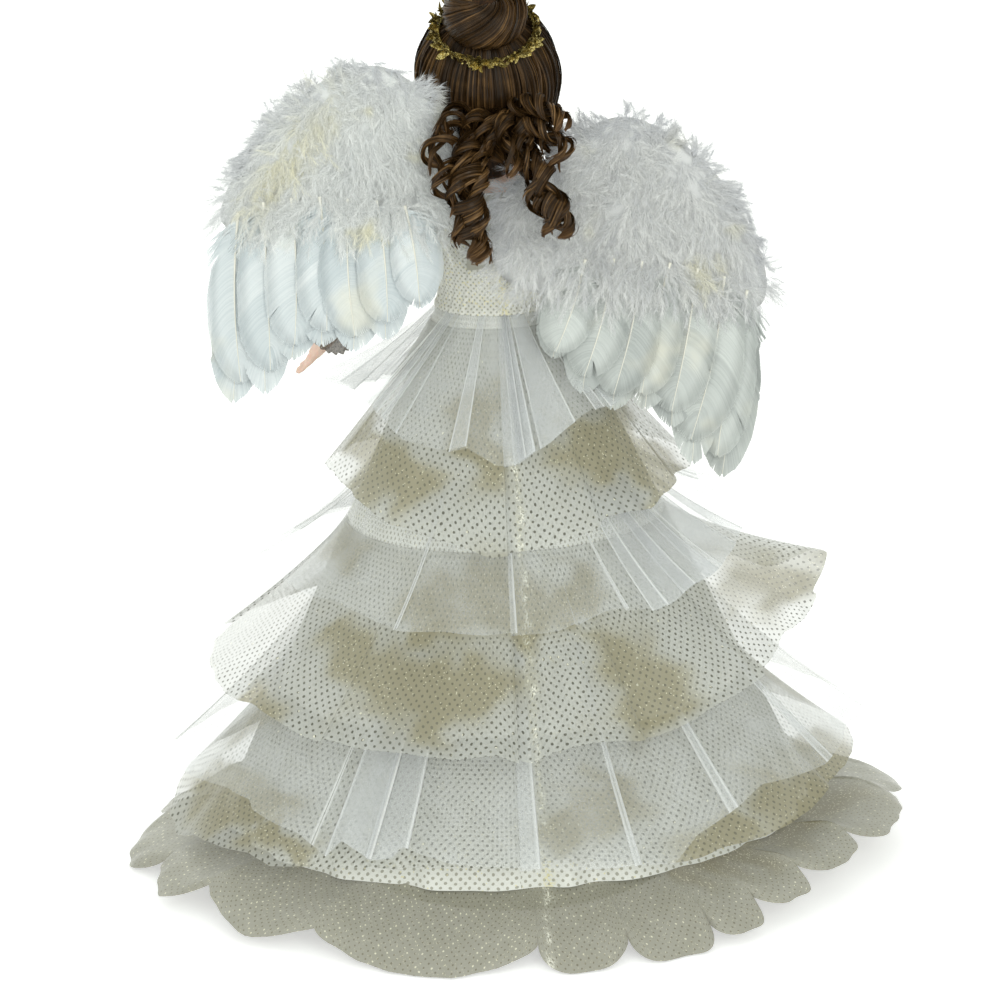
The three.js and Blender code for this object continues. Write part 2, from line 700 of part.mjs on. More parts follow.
// Wings. Each is laid out flat: across runs out from its stud and up runs up from it.
// The photographed doll wears its wings askew: the right one is sewn lower and droops more.
const leftStudRise = 10; // above the wire through the shoulders
const rightStudDrop = 10;
const rightDroop = radians(13.6);
const wingSides = {
  left: { sign: 1, studHeight: armWireHeight + leftStudRise, droop: 0 },
  right: { sign: -1, studHeight: armWireHeight - rightStudDrop, droop: rightDroop },
};
const studOut = 8; // from the doll's middle
const backPlateFront = 20.6;
const backPlateThickness = 1.3;
const backPlateHalfWidth = 12.5;
const backPlateMargin = 7; // above and below the studs
const studRadius = 1.2;
const studHeadRadius = 3;
const studHeadThickness = 1.2;
const studSides = 12;
const wingWireRadius = 1;
const wingWireMiddle = backPlateFront + backPlateThickness + turnGap + wingWireRadius;
const cardFront = wingWireMiddle + wingWireRadius + turnGap;
const cardThickness = 1.2;
const wingSpan = 110;
const wingRise = 70;

function addStuds() {
  const plateTop = wingSides.left.studHeight + backPlateMargin;
  const plateFoot = wingSides.right.studHeight - backPlateMargin;
  const plate = new THREE.BoxGeometry(2 * backPlateHalfWidth, backPlateThickness, plateTop - plateFoot);
  plate.translate(0, backPlateFront + backPlateThickness / 2, (plateTop + plateFoot) / 2);
  const holes = [];
  for (const [side, { sign, studHeight }] of Object.entries(wingSides)) {
    const headFront = cardFront;
    const profile = [
      [0, backPlateFront],
      [studRadius, backPlateFront],
      [studRadius, headFront],
      [studHeadRadius, headFront],
      [studHeadRadius * 0.8, headFront + studHeadThickness],
      [0, headFront + studHeadThickness],
    ].map(([radius, along]) => new THREE.Vector2(radius, along));
    const stud = new THREE.LatheGeometry(profile, studSides).translate(sign * studOut, 0, studHeight);
    addPiece(root, `wing_stud_${side}`, stud, "wire");
    const holeRadius = studRadius + seatGap;
    const hole = new THREE.CylinderGeometry(holeRadius, holeRadius, 2 * backPlateFront, studSides);
    holes.push(hole.translate(sign * studOut, backPlateFront, studHeight));
  }
  addPiece(root, "wing_plate", cutBy(plate, ...holes), "satin");
}

// Places on a wing, in shares of its span and its rise
const cardShares = [
  [0.13, -0.06], [0.9, -0.02], [0.93, 0.25], [0.8, 0.5], [0.6, 0.68], [0.4, 0.78], [0.24, 0.6], [0.13, 0.3],
];
const wirePathShares = [[0.16, 0.12], [0.38, 0.38], [0.58, 0.48], [0.76, 0.32]]; // out from its eye
const downBackShares = {
  left: [
    [0.05, -0.02], [0.2, -0.12], [0.45, -0.12], [0.7, -0.08], [0.9, -0.04], [1, 0], [1, 0.14],
    [0.93, 0.35], [0.82, 0.6], [0.66, 0.82], [0.5, 0.95], [0.36, 0.99], [0.25, 0.92], [0.13, 0.74],
    [0.05, 0.48], [0.02, 0.2],
  ],
  right: [
    [-0.04, -0.14], [0.12, -0.2], [0.3, -0.2], [0.55, -0.14], [0.8, -0.1], [0.98, -0.04], [1.02, 0.12],
    [0.96, 0.35], [0.84, 0.6], [0.68, 0.83], [0.5, 0.98], [0.36, 1.04], [0.25, 1.01], [0.14, 0.88],
    [0.04, 0.68], [-0.1, 0.42], [-0.13, 0.1],
  ],
};
const downFrontShares = [
  [0.33, -0.08], [0.6, -0.08], [0.85, -0.02], [0.94, 0.08], [0.9, 0.32], [0.79, 0.56], [0.64, 0.77],
  [0.5, 0.88], [0.4, 0.84], [0.34, 0.6], [0.31, 0.25],
];

// A soft pad over a flat outline. It swells out on both sides of a middle surface.
const downRingShares = [1, 0.9, 0.65, 0.3];
const downAround = 24;

function downPad(shares, middleAt, frontSwell, backSwell) {
  const places = shares.map(([across, up]) => v3(across * wingSpan, 0, up * wingRise));
  const outline = new THREE.CatmullRomCurve3(places, true).getSpacedPoints(downAround).slice(0, downAround);
  const centre = places.reduce((sum, place) => sum.add(place), v3(0, 0, 0)).divideScalar(places.length);
  const points = [];
  const layer = (share, swell) => {
    const lift = Math.sqrt(1 - share ** 2);
    for (const place of outline) {
      const at = centre.clone().lerp(place, share);
      points.push(v3(at.x, middleAt(at.x, at.z) + swell(at.x) * lift, at.z));
    }
  };
  downRingShares.forEach((share) => layer(share, frontSwell));
  downRingShares.slice(1).forEach((share) => layer(share, backSwell));
  const tip = (swell) => {
    const back = middleAt(centre.x, centre.z) + swell(centre.x);
    return points.push(v3(centre.x, back, centre.z)) - 1;
  };
  const frontTip = tip(frontSwell);
  const backTip = tip(backSwell);
  const triangles = [];
  const rings = downRingShares.length;
  const frontRing = (ring) => ring * downAround;
  const backRing = (ring) => (ring === 0 ? 0 : (rings + ring - 1) * downAround);
  for (let i = 0; i < downAround; i++) {
    const j = (i + 1) % downAround;
    for (let ring = 0; ring < rings - 1; ring++) {
      const [a, b] = [frontRing(ring), frontRing(ring + 1)];
      triangles.push(a + i, a + j, b + j, a + i, b + j, b + i);
      const [c, d] = [backRing(ring), backRing(ring + 1)];
      triangles.push(c + i, d + j, c + j, c + i, d + i, d + j);
    }
    const [front, back] = [frontRing(rings - 1), backRing(rings - 1)];
    triangles.push(front + i, front + j, frontTip, back + i, backTip, back + j);
  }
  return fromPoints(points, triangles);
}

// Flight feathers, from the wing's tip inwards: root, tip and width in shares of the span and the
// rise, and how far the blade bends back over the skirt
const flightFeatherShares = [
  { root: [0.88, 0.12], tip: [0.985, -1.09], width: 0.235, bend: 0.55 },
  { root: [0.77, 0.1], tip: [0.855, -1.03], width: 0.225, bend: 0.7 },
  { root: [0.66, 0.08], tip: [0.745, -0.93], width: 0.23, bend: 0.85 },
  { root: [0.55, 0.06], tip: [0.625, -0.83], width: 0.23, bend: 1 },
  { root: [0.44, 0.04], tip: [0.5, -0.79], width: 0.22, bend: 1 },
  { root: [0.33, 0.02], tip: [0.37, -0.73], width: 0.2, bend: 1.05 },
  { root: [0.22, 0], tip: [0.23, -0.56], width: 0.18, bend: 1.05 },
];
const covertShares = [
  { root: [0.86, 0.06], tip: [0.96, -0.62], width: 0.19, bend: 0.85 },
  { root: [0.73, 0.06], tip: [0.8, -0.6], width: 0.2, bend: 0.95 },
  { root: [0.6, 0.06], tip: [0.64, -0.52], width: 0.2, bend: 1.05 },
  { root: [0.47, 0.06], tip: [0.49, -0.47], width: 0.2, bend: 1.1 },
  { root: [0.35, 0.06], tip: [0.34, -0.42], width: 0.18, bend: 1.15 },
];
const bladeWidthShares = [
  { along: 0, wide: 0.1 },
  { along: 0.12, wide: 0.14 },
  { along: 0.24, wide: 0.72 },
  { along: 0.5, wide: 1 },
  { along: 0.78, wide: 0.92 },
  { along: 0.93, wide: 0.58 },
  { along: 1, wide: 0.1 },
];
const bladeHalfThickness = 0.5;
const featherShingle = radians(12);
const leanShare = 0.15; // how far back a blade leans, for its reach
const curlShare = 0.161; // how much more it leans over a reach of the wing's rise
const rootTilt = 0.3; // what a root leans out of the wing's plane
const featherBack = cardFront + cardThickness + seatGap + bladeHalfThickness + rootTilt;
const covertOffset = 4.5;
const padMiddleOffset = 6; // from the card to the middle of the pad of down on it
const padOffset = 2.4; // how much further the pad stands out over the coverts
const padThinDepth = 3.4; // behind its middle, next to the doll's back
const padFullDepth = 7; // behind its middle, out on the wing
const frontPadDepth = 4.2; // towards the doll's front
const frontPadBackDepth = 0.8; // towards the wing's wire
const tapeWidth = 5; // the coverts are sewn side by side on a tape
const tapeThickness = 0.8;
const tapeOverrun = 2;

function featherBlade({ root: from, tip: to, width, bend }, lift, shingle) {
  const start = v3(from[0] * wingSpan, 0, from[1] * wingRise);
  const end = v3(to[0] * wingSpan, 0, to[1] * wingRise);
  const along = end.clone().sub(start);
  const length = along.length();
  along.normalize();
  const across = along.clone().cross(v3(0, 1, 0)).normalize();
  const edge = across.multiplyScalar(Math.cos(shingle)).addScaledVector(v3(0, 1, 0), Math.sin(shingle));
  const sections = bladeWidthShares.map(({ along: share, wide }) => {
    const reach = share * length;
    const back = lift + bend * reach * (leanShare + (curlShare * reach) / wingRise);
    const middle = start.clone().addScaledVector(along, reach).add(v3(0, back, 0));
    const half = (wide * width * wingSpan) / 2;
    const shaft = v3(0, bladeHalfThickness, 0);
    return [
      middle.clone().addScaledVector(edge, half),
      middle.clone().sub(shaft),
      middle.clone().addScaledVector(edge, -half),
      middle.clone().add(shaft),
    ];
  });
  return loft(sections);
}

function wingPiece(name, side, geometry, finish) {
  const { sign, studHeight, droop } = wingSides[side];
  geometry.rotateY(droop);
  const mirrored = sign > 0 ? geometry : mirrorAcross(geometry);
  addPiece(root, `${name}_${side}`, mirrored.translate(sign * studOut, 0, studHeight), finish);
}

// The mirror image of a piece in the doll's middle plane, still facing outwards
function mirrorAcross(geometry) {
  const mirrored = geometry.clone().scale(-1, 1, 1);
  const index = mirrored.index;
  for (let i = 0; i < index.count; i += 3) {
    const [a, b] = [index.getX(i), index.getX(i + 1)];
    index.setX(i, b);
    index.setX(i + 1, a);
  }
  return mirrored;
}

function addWing(side) {
  const eyeRadius = studRadius + turnGap + wingWireRadius;
  const eye = new THREE.TorusGeometry(eyeRadius, wingWireRadius, 6, 14);
  eye.rotateX(Math.PI / 2).translate(0, wingWireMiddle, 0);
  const onWire = ([across, up]) => v3(across * wingSpan, wingWireMiddle, up * wingRise);
  const wirePlaces = [v3(eyeRadius, wingWireMiddle, 0), ...wirePathShares.map(onWire)];
  const wirePath = new THREE.CatmullRomCurve3(wirePlaces).getSpacedPoints(8);
  const arm = tubeAlong(wirePath, wirePath.map(() => wingWireRadius), 5);
  wingPiece("wing_wire", side, joined([eye, arm]), "wire");

  const cardOutline = cardShares.map(([across, up]) => new THREE.Vector2(across * wingSpan, up * wingRise));
  const card = new THREE.Shape(cardOutline);
  const cardSolid = new THREE.ExtrudeGeometry(card, { depth: cardThickness, bevelEnabled: false });
  cardSolid.rotateX(Math.PI / 2).translate(0, cardFront + cardThickness, 0);
  wingPiece("wing_card", side, geometryOf(solidOf(cardSolid)), "paper");

  flightFeatherShares.forEach((feather, i) => {
    wingPiece(`feather_${i + 1}`, side, featherBlade(feather, featherBack, featherShingle), "feather");
  });
  const covertBack = featherBack + covertOffset;
  const row = covertShares.map((feather) => featherBlade(feather, covertBack, 0));
  const [outerRoot, innerRoot] = [covertShares[0].root, covertShares[covertShares.length - 1].root];
  const tapeLength = (outerRoot[0] - innerRoot[0]) * wingSpan + 2 * tapeOverrun;
  const tape = new THREE.BoxGeometry(tapeLength, tapeThickness, tapeWidth);
  tape.translate(((outerRoot[0] + innerRoot[0]) / 2) * wingSpan, covertBack, outerRoot[1] * wingRise);
  wingPiece("coverts", side, joined([...row, tape]), "feather");

  // The back pad lies on the card above the coverts, and is hollowed where it passes over them
  const outOnWing = (across) => smoothstep(across, 0.24 * wingSpan, 0.42 * wingSpan);
  const overFeathers = (up) => 1 - smoothstep(up, 0.02 * wingRise, 0.24 * wingRise);
  const padMiddle = cardFront + cardThickness + seatGap + padMiddleOffset;
  const backMiddle = (across, up) => padMiddle + (covertOffset + padOffset) * overFeathers(up);
  const backSwell = (across) => mix(padThinDepth, padFullDepth, outOnWing(across));
  const backPad = downPad(downBackShares[side], backMiddle, () => -padMiddleOffset, backSwell);
  const tapeTop = outerRoot[1] * wingRise + tapeWidth / 2 + seatGap;
  const tapeBack = covertBack + tapeThickness / 2 + seatGap;
  const roomReach = 2 * wingSpan;
  const roomDrop = wingRise / 2;
  const roomSlope = leanShare + (curlShare * roomDrop) / wingRise;
  const room = new THREE.Shape([
    new THREE.Vector2(-tapeTop, 0),
    new THREE.Vector2(-tapeTop, tapeBack),
    new THREE.Vector2(-tapeTop + roomDrop, tapeBack + roomSlope * roomDrop),
    new THREE.Vector2(-tapeTop + roomDrop, 0),
  ]);
  const covertRoom = new THREE.ExtrudeGeometry(room, { depth: 2 * roomReach, bevelEnabled: false });
  covertRoom.rotateY(Math.PI / 2).translate(-roomReach, 0, 0);
  wingPiece("down_back", side, cutBy(backPad, geometryOf(solidOf(covertRoom))), "down");
  const frontMiddle = () => wingWireMiddle - wingWireRadius - turnGap - frontPadBackDepth;
  const frontPad = downPad(downFrontShares, frontMiddle, () => -frontPadDepth, () => frontPadBackDepth);
  wingPiece("down_front", side, frontPad, "down");
}

// Arms. The cloth upper arm turns on the wire through the shoulders; the bisque forearm bends at
// the elbow. Laid out for the left arm and mirrored for the right one.
const shoulderOut = 41.5;
const upperArmLength = 49.5;
const upperArmDown = v3(0.47, -0.28, -0.84).normalize();
const upperArmRadius = 6.8;
const elbowRadius = 4.6;
const forearmDown = v3(0.53, -0.42, -0.74).normalize();
const forearmLength = 35;
const forearmRadius = 4.8;
const sleeveWall = 1.3;
const cuffWall = 1.1;
const shaftSides = 10;
const clothSides = 12;

// A solid of revolution about a line, from radii at distances along it
function turnedAlong(start, direction, places, sides) {
  const across = v3(1, 0, 0).addScaledVector(direction, -direction.x).normalize();
  const up = direction.clone().cross(across);
  return loft(
    places.map(([distance, radius]) =>
      Array.from({ length: sides }, (_, side) => {
        const turn = (2 * Math.PI * side) / sides;
        const point = start.clone().addScaledVector(direction, distance);
        point.addScaledVector(across, radius * Math.cos(turn));
        return point.addScaledVector(up, radius * Math.sin(turn));
      }),
    ),
  );
}

function ballAt(place, radius) {
  return new THREE.SphereGeometry(radius, 12, 8).translate(place.x, place.y, place.z);
}

// Sleeve, cuff and upper arm, in shares of the length and the radius of the arm that each covers
const upperArmShares = [
  { along: 0, radius: 1 },
  { along: 0.5, radius: 0.94 },
  { along: 1, radius: 0.85 },
];
const sleeveShares = [
  { along: -0.1, radius: 1.15 },
  { along: 0.02, radius: 1.27 },
  { along: 0.2, radius: 1.85 },
  { along: 0.45, radius: 2.1 },
  { along: 0.7, radius: 1.8 },
  { along: 0.86, radius: 1.18 },
];
const cuffShares = [
  { along: 0.2, radius: 1.09 },
  { along: 0.42, radius: 1.6 },
  { along: 0.64, radius: 2.1 },
  { along: 0.84, radius: 2.75 },
];
// The shaft of the forearm, in shares of its length and its radius
const forearmShares = [
  { along: 0.03, radius: 0.67 },
  { along: 0.23, radius: 0.77 },
  { along: 0.43, radius: 1 },
  { along: 0.69, radius: 0.85 },
  { along: 1, radius: 0.625 },
];
// The palm, in shares of its length, half width and half thickness
const palmShares = [
  { along: 0, wide: 0.72, thick: 1.35 },
  { along: 0.35, wide: 0.95, thick: 1.15 },
  { along: 0.75, wide: 1, thick: 1 },
  { along: 1, wide: 0.95, thick: 0.7 },
];
// Fingers: where on the palm's width each grows, its length and how far it splays
const fingerShares = [
  { across: 0.9, length: 0.84, splay: 0.14 },
  { across: 0.32, length: 1, splay: 0.04 },
  { across: -0.28, length: 0.95, splay: -0.05 },
  { across: -0.86, length: 0.74, splay: -0.15 },
];
const thumbShare = { across: 0.55, along: 0.2, length: 0.79, splay: 0.75 };
const fingerTaperShares = [
  { along: 0, radius: 1 },
  { along: 0.5, radius: 0.95 },
  { along: 0.9, radius: 0.75 },
  { along: 1, radius: 0.3 },
];
const fingerCurlShare = 0.18; // how far a finger's tip bends in, of its length
const fingerLength = 9.5;
const fingerRadius = 1.25;
const fingerSink = 1.2; // how deep the fingers and the palm grow from what carries them
const palmLength = 8;
const palmHalfWidth = 4;
const palmHalfThickness = 2;

function forearmSolid(elbow) {
  const ball = ballAt(elbow, elbowRadius);
  const shaftPlaces = placesOn(forearmShares, forearmLength, forearmRadius);
  const shaft = turnedAlong(elbow, forearmDown, shaftPlaces, shaftSides);
  const wrist = elbow.clone().addScaledVector(forearmDown, forearmLength - fingerSink);
  const broad = v3(0, -1, 0).addScaledVector(forearmDown, forearmDown.y).normalize();
  const thin = forearmDown.clone().cross(broad).normalize();
  const palmSections = palmShares.map(({ along, wide, thick }) =>
    Array.from({ length: shaftSides }, (_, side) => {
      const turn = (2 * Math.PI * side) / shaftSides;
      const point = wrist.clone().addScaledVector(forearmDown, along * palmLength);
      point.addScaledVector(broad, wide * palmHalfWidth * Math.cos(turn));
      return point.addScaledVector(thin, thick * palmHalfThickness * Math.sin(turn));
    }),
  );
  const digit = (base, splay, length) => {
    const direction = forearmDown.clone().addScaledVector(broad, splay).normalize();
    const path = fingerTaperShares.map(({ along }) => {
      const point = base.clone().addScaledVector(direction, along * length);
      return point.addScaledVector(thin, -fingerCurlShare * length * along ** 2);
    });
    return tubeAlong(path, fingerTaperShares.map(({ radius }) => radius * fingerRadius), 5);
  };
  const knuckles = wrist.clone().addScaledVector(forearmDown, palmLength - fingerSink);
  const digits = fingerShares.map(({ across, length, splay }) => {
    const base = knuckles.clone().addScaledVector(broad, across * (palmHalfWidth - fingerRadius));
    return digit(base, splay, length * fingerLength);
  });
  const thumbBase = wrist.clone().addScaledVector(forearmDown, palmLength * thumbShare.along);
  thumbBase.addScaledVector(broad, palmHalfWidth * thumbShare.across);
  digits.push(digit(thumbBase, thumbShare.splay, thumbShare.length * fingerLength));
  return joined([ball, shaft, loft(palmSections), ...digits]);
}

function placesOn(shares, length, radius) {
  return shares.map((share) => [share.along * length, share.radius * radius]);
}

function hollowAlong(start, direction, outer, wall) {
  const inner = outer.map(([distance, radius]) => [distance, radius - wall]);
  inner[0][0] -= cutOverrun;
  inner[inner.length - 1][0] += cutOverrun;
  const whole = turnedAlong(start, direction, outer, clothSides);
  return cutBy(whole, turnedAlong(start, direction, inner, clothSides));
}

function addArms() {
  const shoulder = v3(shoulderOut, 0, armWireHeight);
  const elbow = shoulder.clone().addScaledVector(upperArmDown, upperArmLength);
  const wireHole = crossBar(armWireRadius + turnGap, shoulderOut * 2);

  const armPlaces = placesOn(upperArmShares, upperArmLength, upperArmRadius);
  const cloth = joined([
    ballAt(shoulder, upperArmRadius),
    turnedAlong(shoulder, upperArmDown, armPlaces, shaftSides),
  ]);
  const upperArm = cutBy(cloth, ballAt(elbow, elbowRadius + seatGap), wireHole);
  const forearm = forearmSolid(elbow);
  const sleevePlaces = placesOn(sleeveShares, upperArmLength, upperArmRadius);
  const sleeve = cutBy(hollowAlong(shoulder, upperArmDown, sleevePlaces, sleeveWall), wireHole);
  const cuffPlaces = placesOn(cuffShares, forearmLength, forearmRadius);
  const cuff = hollowAlong(elbow, forearmDown, cuffPlaces, cuffWall);
  for (const [side, place] of [["left", (geometry) => geometry], ["right", mirrorAcross]]) {
    addPiece(root, `upper_arm_${side}`, place(upperArm), "cloth");
    addPiece(root, `forearm_${side}`, place(forearm), "bisque");
    addPiece(root, `sleeve_${side}`, place(sleeve), "tulle");
    addPiece(root, `cuff_${side}`, place(cuff), "dottedNet");
  }
}

addCone();
addSkirt();
addTrunk();
addHead();
addWigCap();
addBunAndCrown();
addRinglets();
addStuds();
addWing("left");
addWing("right");
addArms();

export default root;
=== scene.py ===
"""Looks of a treetop angel doll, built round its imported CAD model. Metres, +Z up, the doll faces -Y."""
import math

import bpy
import numpy as np
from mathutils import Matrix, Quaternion, Vector


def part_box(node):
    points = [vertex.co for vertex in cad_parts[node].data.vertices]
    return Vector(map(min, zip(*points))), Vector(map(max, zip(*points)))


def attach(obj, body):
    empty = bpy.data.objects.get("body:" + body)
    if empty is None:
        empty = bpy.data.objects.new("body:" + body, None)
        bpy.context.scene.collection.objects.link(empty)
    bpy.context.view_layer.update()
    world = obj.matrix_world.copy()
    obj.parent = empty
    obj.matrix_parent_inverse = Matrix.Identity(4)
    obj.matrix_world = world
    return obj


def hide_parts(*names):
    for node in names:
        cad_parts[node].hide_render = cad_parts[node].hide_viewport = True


bl_info = {
    "name": "Treetop angel doll",
    "version": (1, 0, 0),
    "blender": (4, 5, 0),
    "location": "3D View > Sidebar > Angel",
    "description": "Dresses the packed model of a treetop angel with net, satin, feathers and hair",
    "category": "Object",
}

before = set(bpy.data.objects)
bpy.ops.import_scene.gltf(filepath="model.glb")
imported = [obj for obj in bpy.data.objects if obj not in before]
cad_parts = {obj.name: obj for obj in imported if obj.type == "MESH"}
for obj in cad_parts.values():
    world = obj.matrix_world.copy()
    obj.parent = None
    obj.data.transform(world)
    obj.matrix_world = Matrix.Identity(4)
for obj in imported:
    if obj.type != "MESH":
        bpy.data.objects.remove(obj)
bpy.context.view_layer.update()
MM = 0.001
TAU = 2 * math.pi
SIDES = {"left": 1, "right": -1}


# Numbers and places

def paint(red, green, blue):
    """A colour as it should show, 0 to 255, as the linear colour that a shader takes."""
    linear = [((c / 255 + 0.055) / 1.055) ** 2.4 if c > 10 else c / 3294.6 for c in (red, green, blue)]
    return tuple(linear) + (1,)


def evenly(count):
    return np.linspace(0, 1, count)


def mix(low, high, share):
    return low + (high - low) * share


def smooth(low, high, value):
    share = np.clip((value - low) / (high - low), 0, 1)
    return share * share * (3 - 2 * share)


def unit(vectors):
    return vectors / np.maximum(np.linalg.norm(vectors, axis=-1, keepdims=True), 1e-9)


def bump(distance, spread):
    return np.exp(-((distance / spread) ** 2))


def wander(values, seed, octaves=3):
    """A smooth random line over values, from about -1 to 1, that repeats after a full turn."""
    rng = np.random.default_rng(seed)
    total = np.zeros_like(values, dtype=float)
    for octave in range(1, octaves + 1):
        for step in range(1, 4):
            turns = octave * 3 + step
            total += rng.normal() / turns * np.sin(turns * values + rng.uniform(0, TAU))
    return total * 2.2


# The photograph's view, which the camera, the patches of gold net and the marks on the hems share
VIEW_TARGET = np.array([0, 0, 190 * MM])
VIEW_DISTANCE = 1800 * MM
VIEW_ELEVATION = math.radians(18.5)
VIEW_ROLL = math.radians(2.4)
PIXEL_SIZE = 0.4485 * MM
TARGET_PIXEL = (503, 451)
MIDDLE_PIXEL = 500
VIEW_BACK = np.array([0, math.cos(VIEW_ELEVATION), math.sin(VIEW_ELEVATION)])
VIEW_RIGHT = np.array([-1, 0, 0])
VIEW_UP = np.cross(VIEW_BACK, VIEW_RIGHT)


def pixels_of(points):
    """Where points of the doll show in the photograph."""
    from_target = points - VIEW_TARGET
    scale = VIEW_DISTANCE / (VIEW_DISTANCE - from_target @ VIEW_BACK)
    across = from_target @ VIEW_RIGHT * scale / PIXEL_SIZE
    up = from_target @ VIEW_UP * scale / PIXEL_SIZE
    turn_x = across * math.cos(VIEW_ROLL) - up * math.sin(VIEW_ROLL)
    turn_y = across * math.sin(VIEW_ROLL) + up * math.cos(VIEW_ROLL)
    return TARGET_PIXEL[0] + turn_x, TARGET_PIXEL[1] - turn_y


# Meshes

def add_object(name, data):
    thing = bpy.data.objects.new(name, data)
    bpy.context.scene.collection.objects.link(thing)
    return thing


def new_object(name, points, faces, uvs=None, values=None):
    """A mesh object from arrays: uvs has a row for each point, and values an array of numbers by name."""
    mesh = bpy.data.meshes.new(name)
    mesh.from_pydata(points.reshape(-1, 3).tolist(), [], faces.tolist())
    mesh.polygons.foreach_set("use_smooth", np.ones(len(mesh.polygons), bool))
    corner = np.empty(len(mesh.loops), np.int32)
    mesh.loops.foreach_get("vertex_index", corner)
    if uvs is not None:
        layer = mesh.uv_layers.new(name="UVMap")
        layer.data.foreach_set("uv", uvs.reshape(-1, 2)[corner].astype(np.float32).ravel())
    for title, numbers in (values or {}).items():
        attribute = mesh.attributes.new(title, "FLOAT", "POINT")
        attribute.data.foreach_set("value", np.asarray(numbers, np.float32).ravel())
    mesh.update()
    return add_object(name, mesh)


def grid_faces(rows, columns, closed=False):
    """Quads over rows of points. A closed grid joins its last column to its first."""
    steps = columns if closed else columns - 1
    row, column = np.meshgrid(np.arange(rows - 1), np.arange(steps), indexing="ij")
    after = (column + 1) % columns
    a = row * columns + column
    b = row * columns + after
    return np.stack([a, b, b + columns, a + columns], -1).reshape(-1, 4)


def merged(parts):
    """Several (points, faces, uvs, values) as one. A part whose uvs are None has its cloth place at 0, 0."""
    points, faces, uvs = [], [], []
    values = {title: [] for title in parts[0][3]}
    start = 0
    for part_points, part_faces, part_uvs, part_values in parts:
        points.append(part_points.reshape(-1, 3))
        count = len(points[-1])
        faces.append(part_faces + start)
        uvs.append(np.zeros((count, 2)) if part_uvs is None else part_uvs.reshape(-1, 2))
        for title in values:
            values[title].append(np.broadcast_to(part_values[title], part_points.shape[:-1]).ravel())
        start += count
    values = {title: np.concatenate(lists) for title, lists in values.items()}
    return np.concatenate(points), np.concatenate(faces), np.concatenate(uvs), values


def strips(paths, half_widths, sideways, values=None):
    """Flat strips along paths: paths and sideways (n, k, 3), half_widths (n, k) or (k). Each of values holds
    a number for each strip or for each of its steps."""
    count, steps, _ = paths.shape
    shape = (count, steps, 2)
    reach = sideways * half_widths[..., None]
    points = np.stack([paths - reach, paths + reach], 2)
    low = np.arange(count)[:, None] * steps * 2 + np.arange(steps - 1) * 2
    faces = np.stack([low, low + 1, low + 3, low + 2], -1).reshape(-1, 4)
    along = np.broadcast_to(evenly(steps)[:, None], shape)
    across = np.broadcast_to(np.array([0, 1]), shape)
    wide = {title: np.broadcast_to(np.asarray(numbers).reshape(count, -1, 1), shape)
            for title, numbers in (values or {}).items()}
    wide["along"] = along
    return points, faces, np.stack([across, along], -1), wide


def tangents(paths):
    return unit(np.gradient(paths, axis=-2))


def facing(paths, outward, turn=0):
    """Sideways directions of strips that lie flat under an outward direction, each turned by an angle."""
    along = tangents(paths)
    side = unit(np.cross(along, np.broadcast_to(outward, paths.shape)))
    up = np.cross(side, along)
    turn = np.asarray(turn).reshape(-1, 1, 1)
    return side * np.cos(turn) + up * np.sin(turn)


def at_steps(paths, steps):
    """Points of paths at fractional steps along them."""
    low = np.clip(steps.astype(int), 0, paths.shape[1] - 2)
    part = (steps - low)[None, :, None]
    return paths[:, low] * (1 - part) + paths[:, low + 1] * part


def unit_ball(polar, columns):
    """A ball of radius 1: a ring of columns points at each polar angle."""
    polar = polar[:, None]
    turn = np.linspace(0, TAU, columns, endpoint=False)
    spread = np.sin(polar)
    return np.stack([spread * np.cos(turn), spread * np.sin(turn), np.cos(polar) + 0 * turn], -1)


def tube_rings(path, radii, sides):
    """Rings of points round a path, for a closed grid."""
    along = tangents(path)
    across = np.zeros_like(path)
    last = np.array([1, 0, 0])
    for i, direction in enumerate(along):
        last = unit(last - direction * (last @ direction))
        across[i] = last
    up = np.cross(along, across)
    turn = (np.arange(sides) * TAU / sides)[:, None]
    spoke = across[:, None] * np.cos(turn) + up[:, None] * np.sin(turn)
    return path[:, None] + spoke * np.asarray(radii).reshape(-1, 1, 1)


def curve_through(places, count):
    """Points spaced evenly along a smooth curve through places."""
    places = np.asarray(places, float)
    padded = np.vstack([2 * places[0] - places[1], places, 2 * places[-1] - places[-2]])
    fine = []
    for i in range(len(places) - 1):
        p0, p1, p2, p3 = padded[i:i + 4]
        t = np.linspace(0, 1, 24, endpoint=False)[:, None]
        fine.append(0.5 * (2 * p1 + (p2 - p0) * t + (2 * p0 - 5 * p1 + 4 * p2 - p3) * t ** 2
                           + (3 * p1 - p0 - 3 * p2 + p3) * t ** 3))
    fine = np.vstack(fine + [places[-1:]])
    reach = np.concatenate([[0], np.cumsum(np.linalg.norm(np.diff(fine, axis=0), axis=1))])
    wanted = np.linspace(0, reach[-1], count)
    return np.stack([np.interp(wanted, reach, fine[:, axis]) for axis in range(fine.shape[1])], -1)


def place(thing, material, body, node):
    """Gives a finished piece its material and body, and hides the node that it stands for, if any."""
    thing.data.materials.append(MATERIALS[material])
    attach(thing, body)
    if node:
        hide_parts(node)
    return thing


# Shader nodes

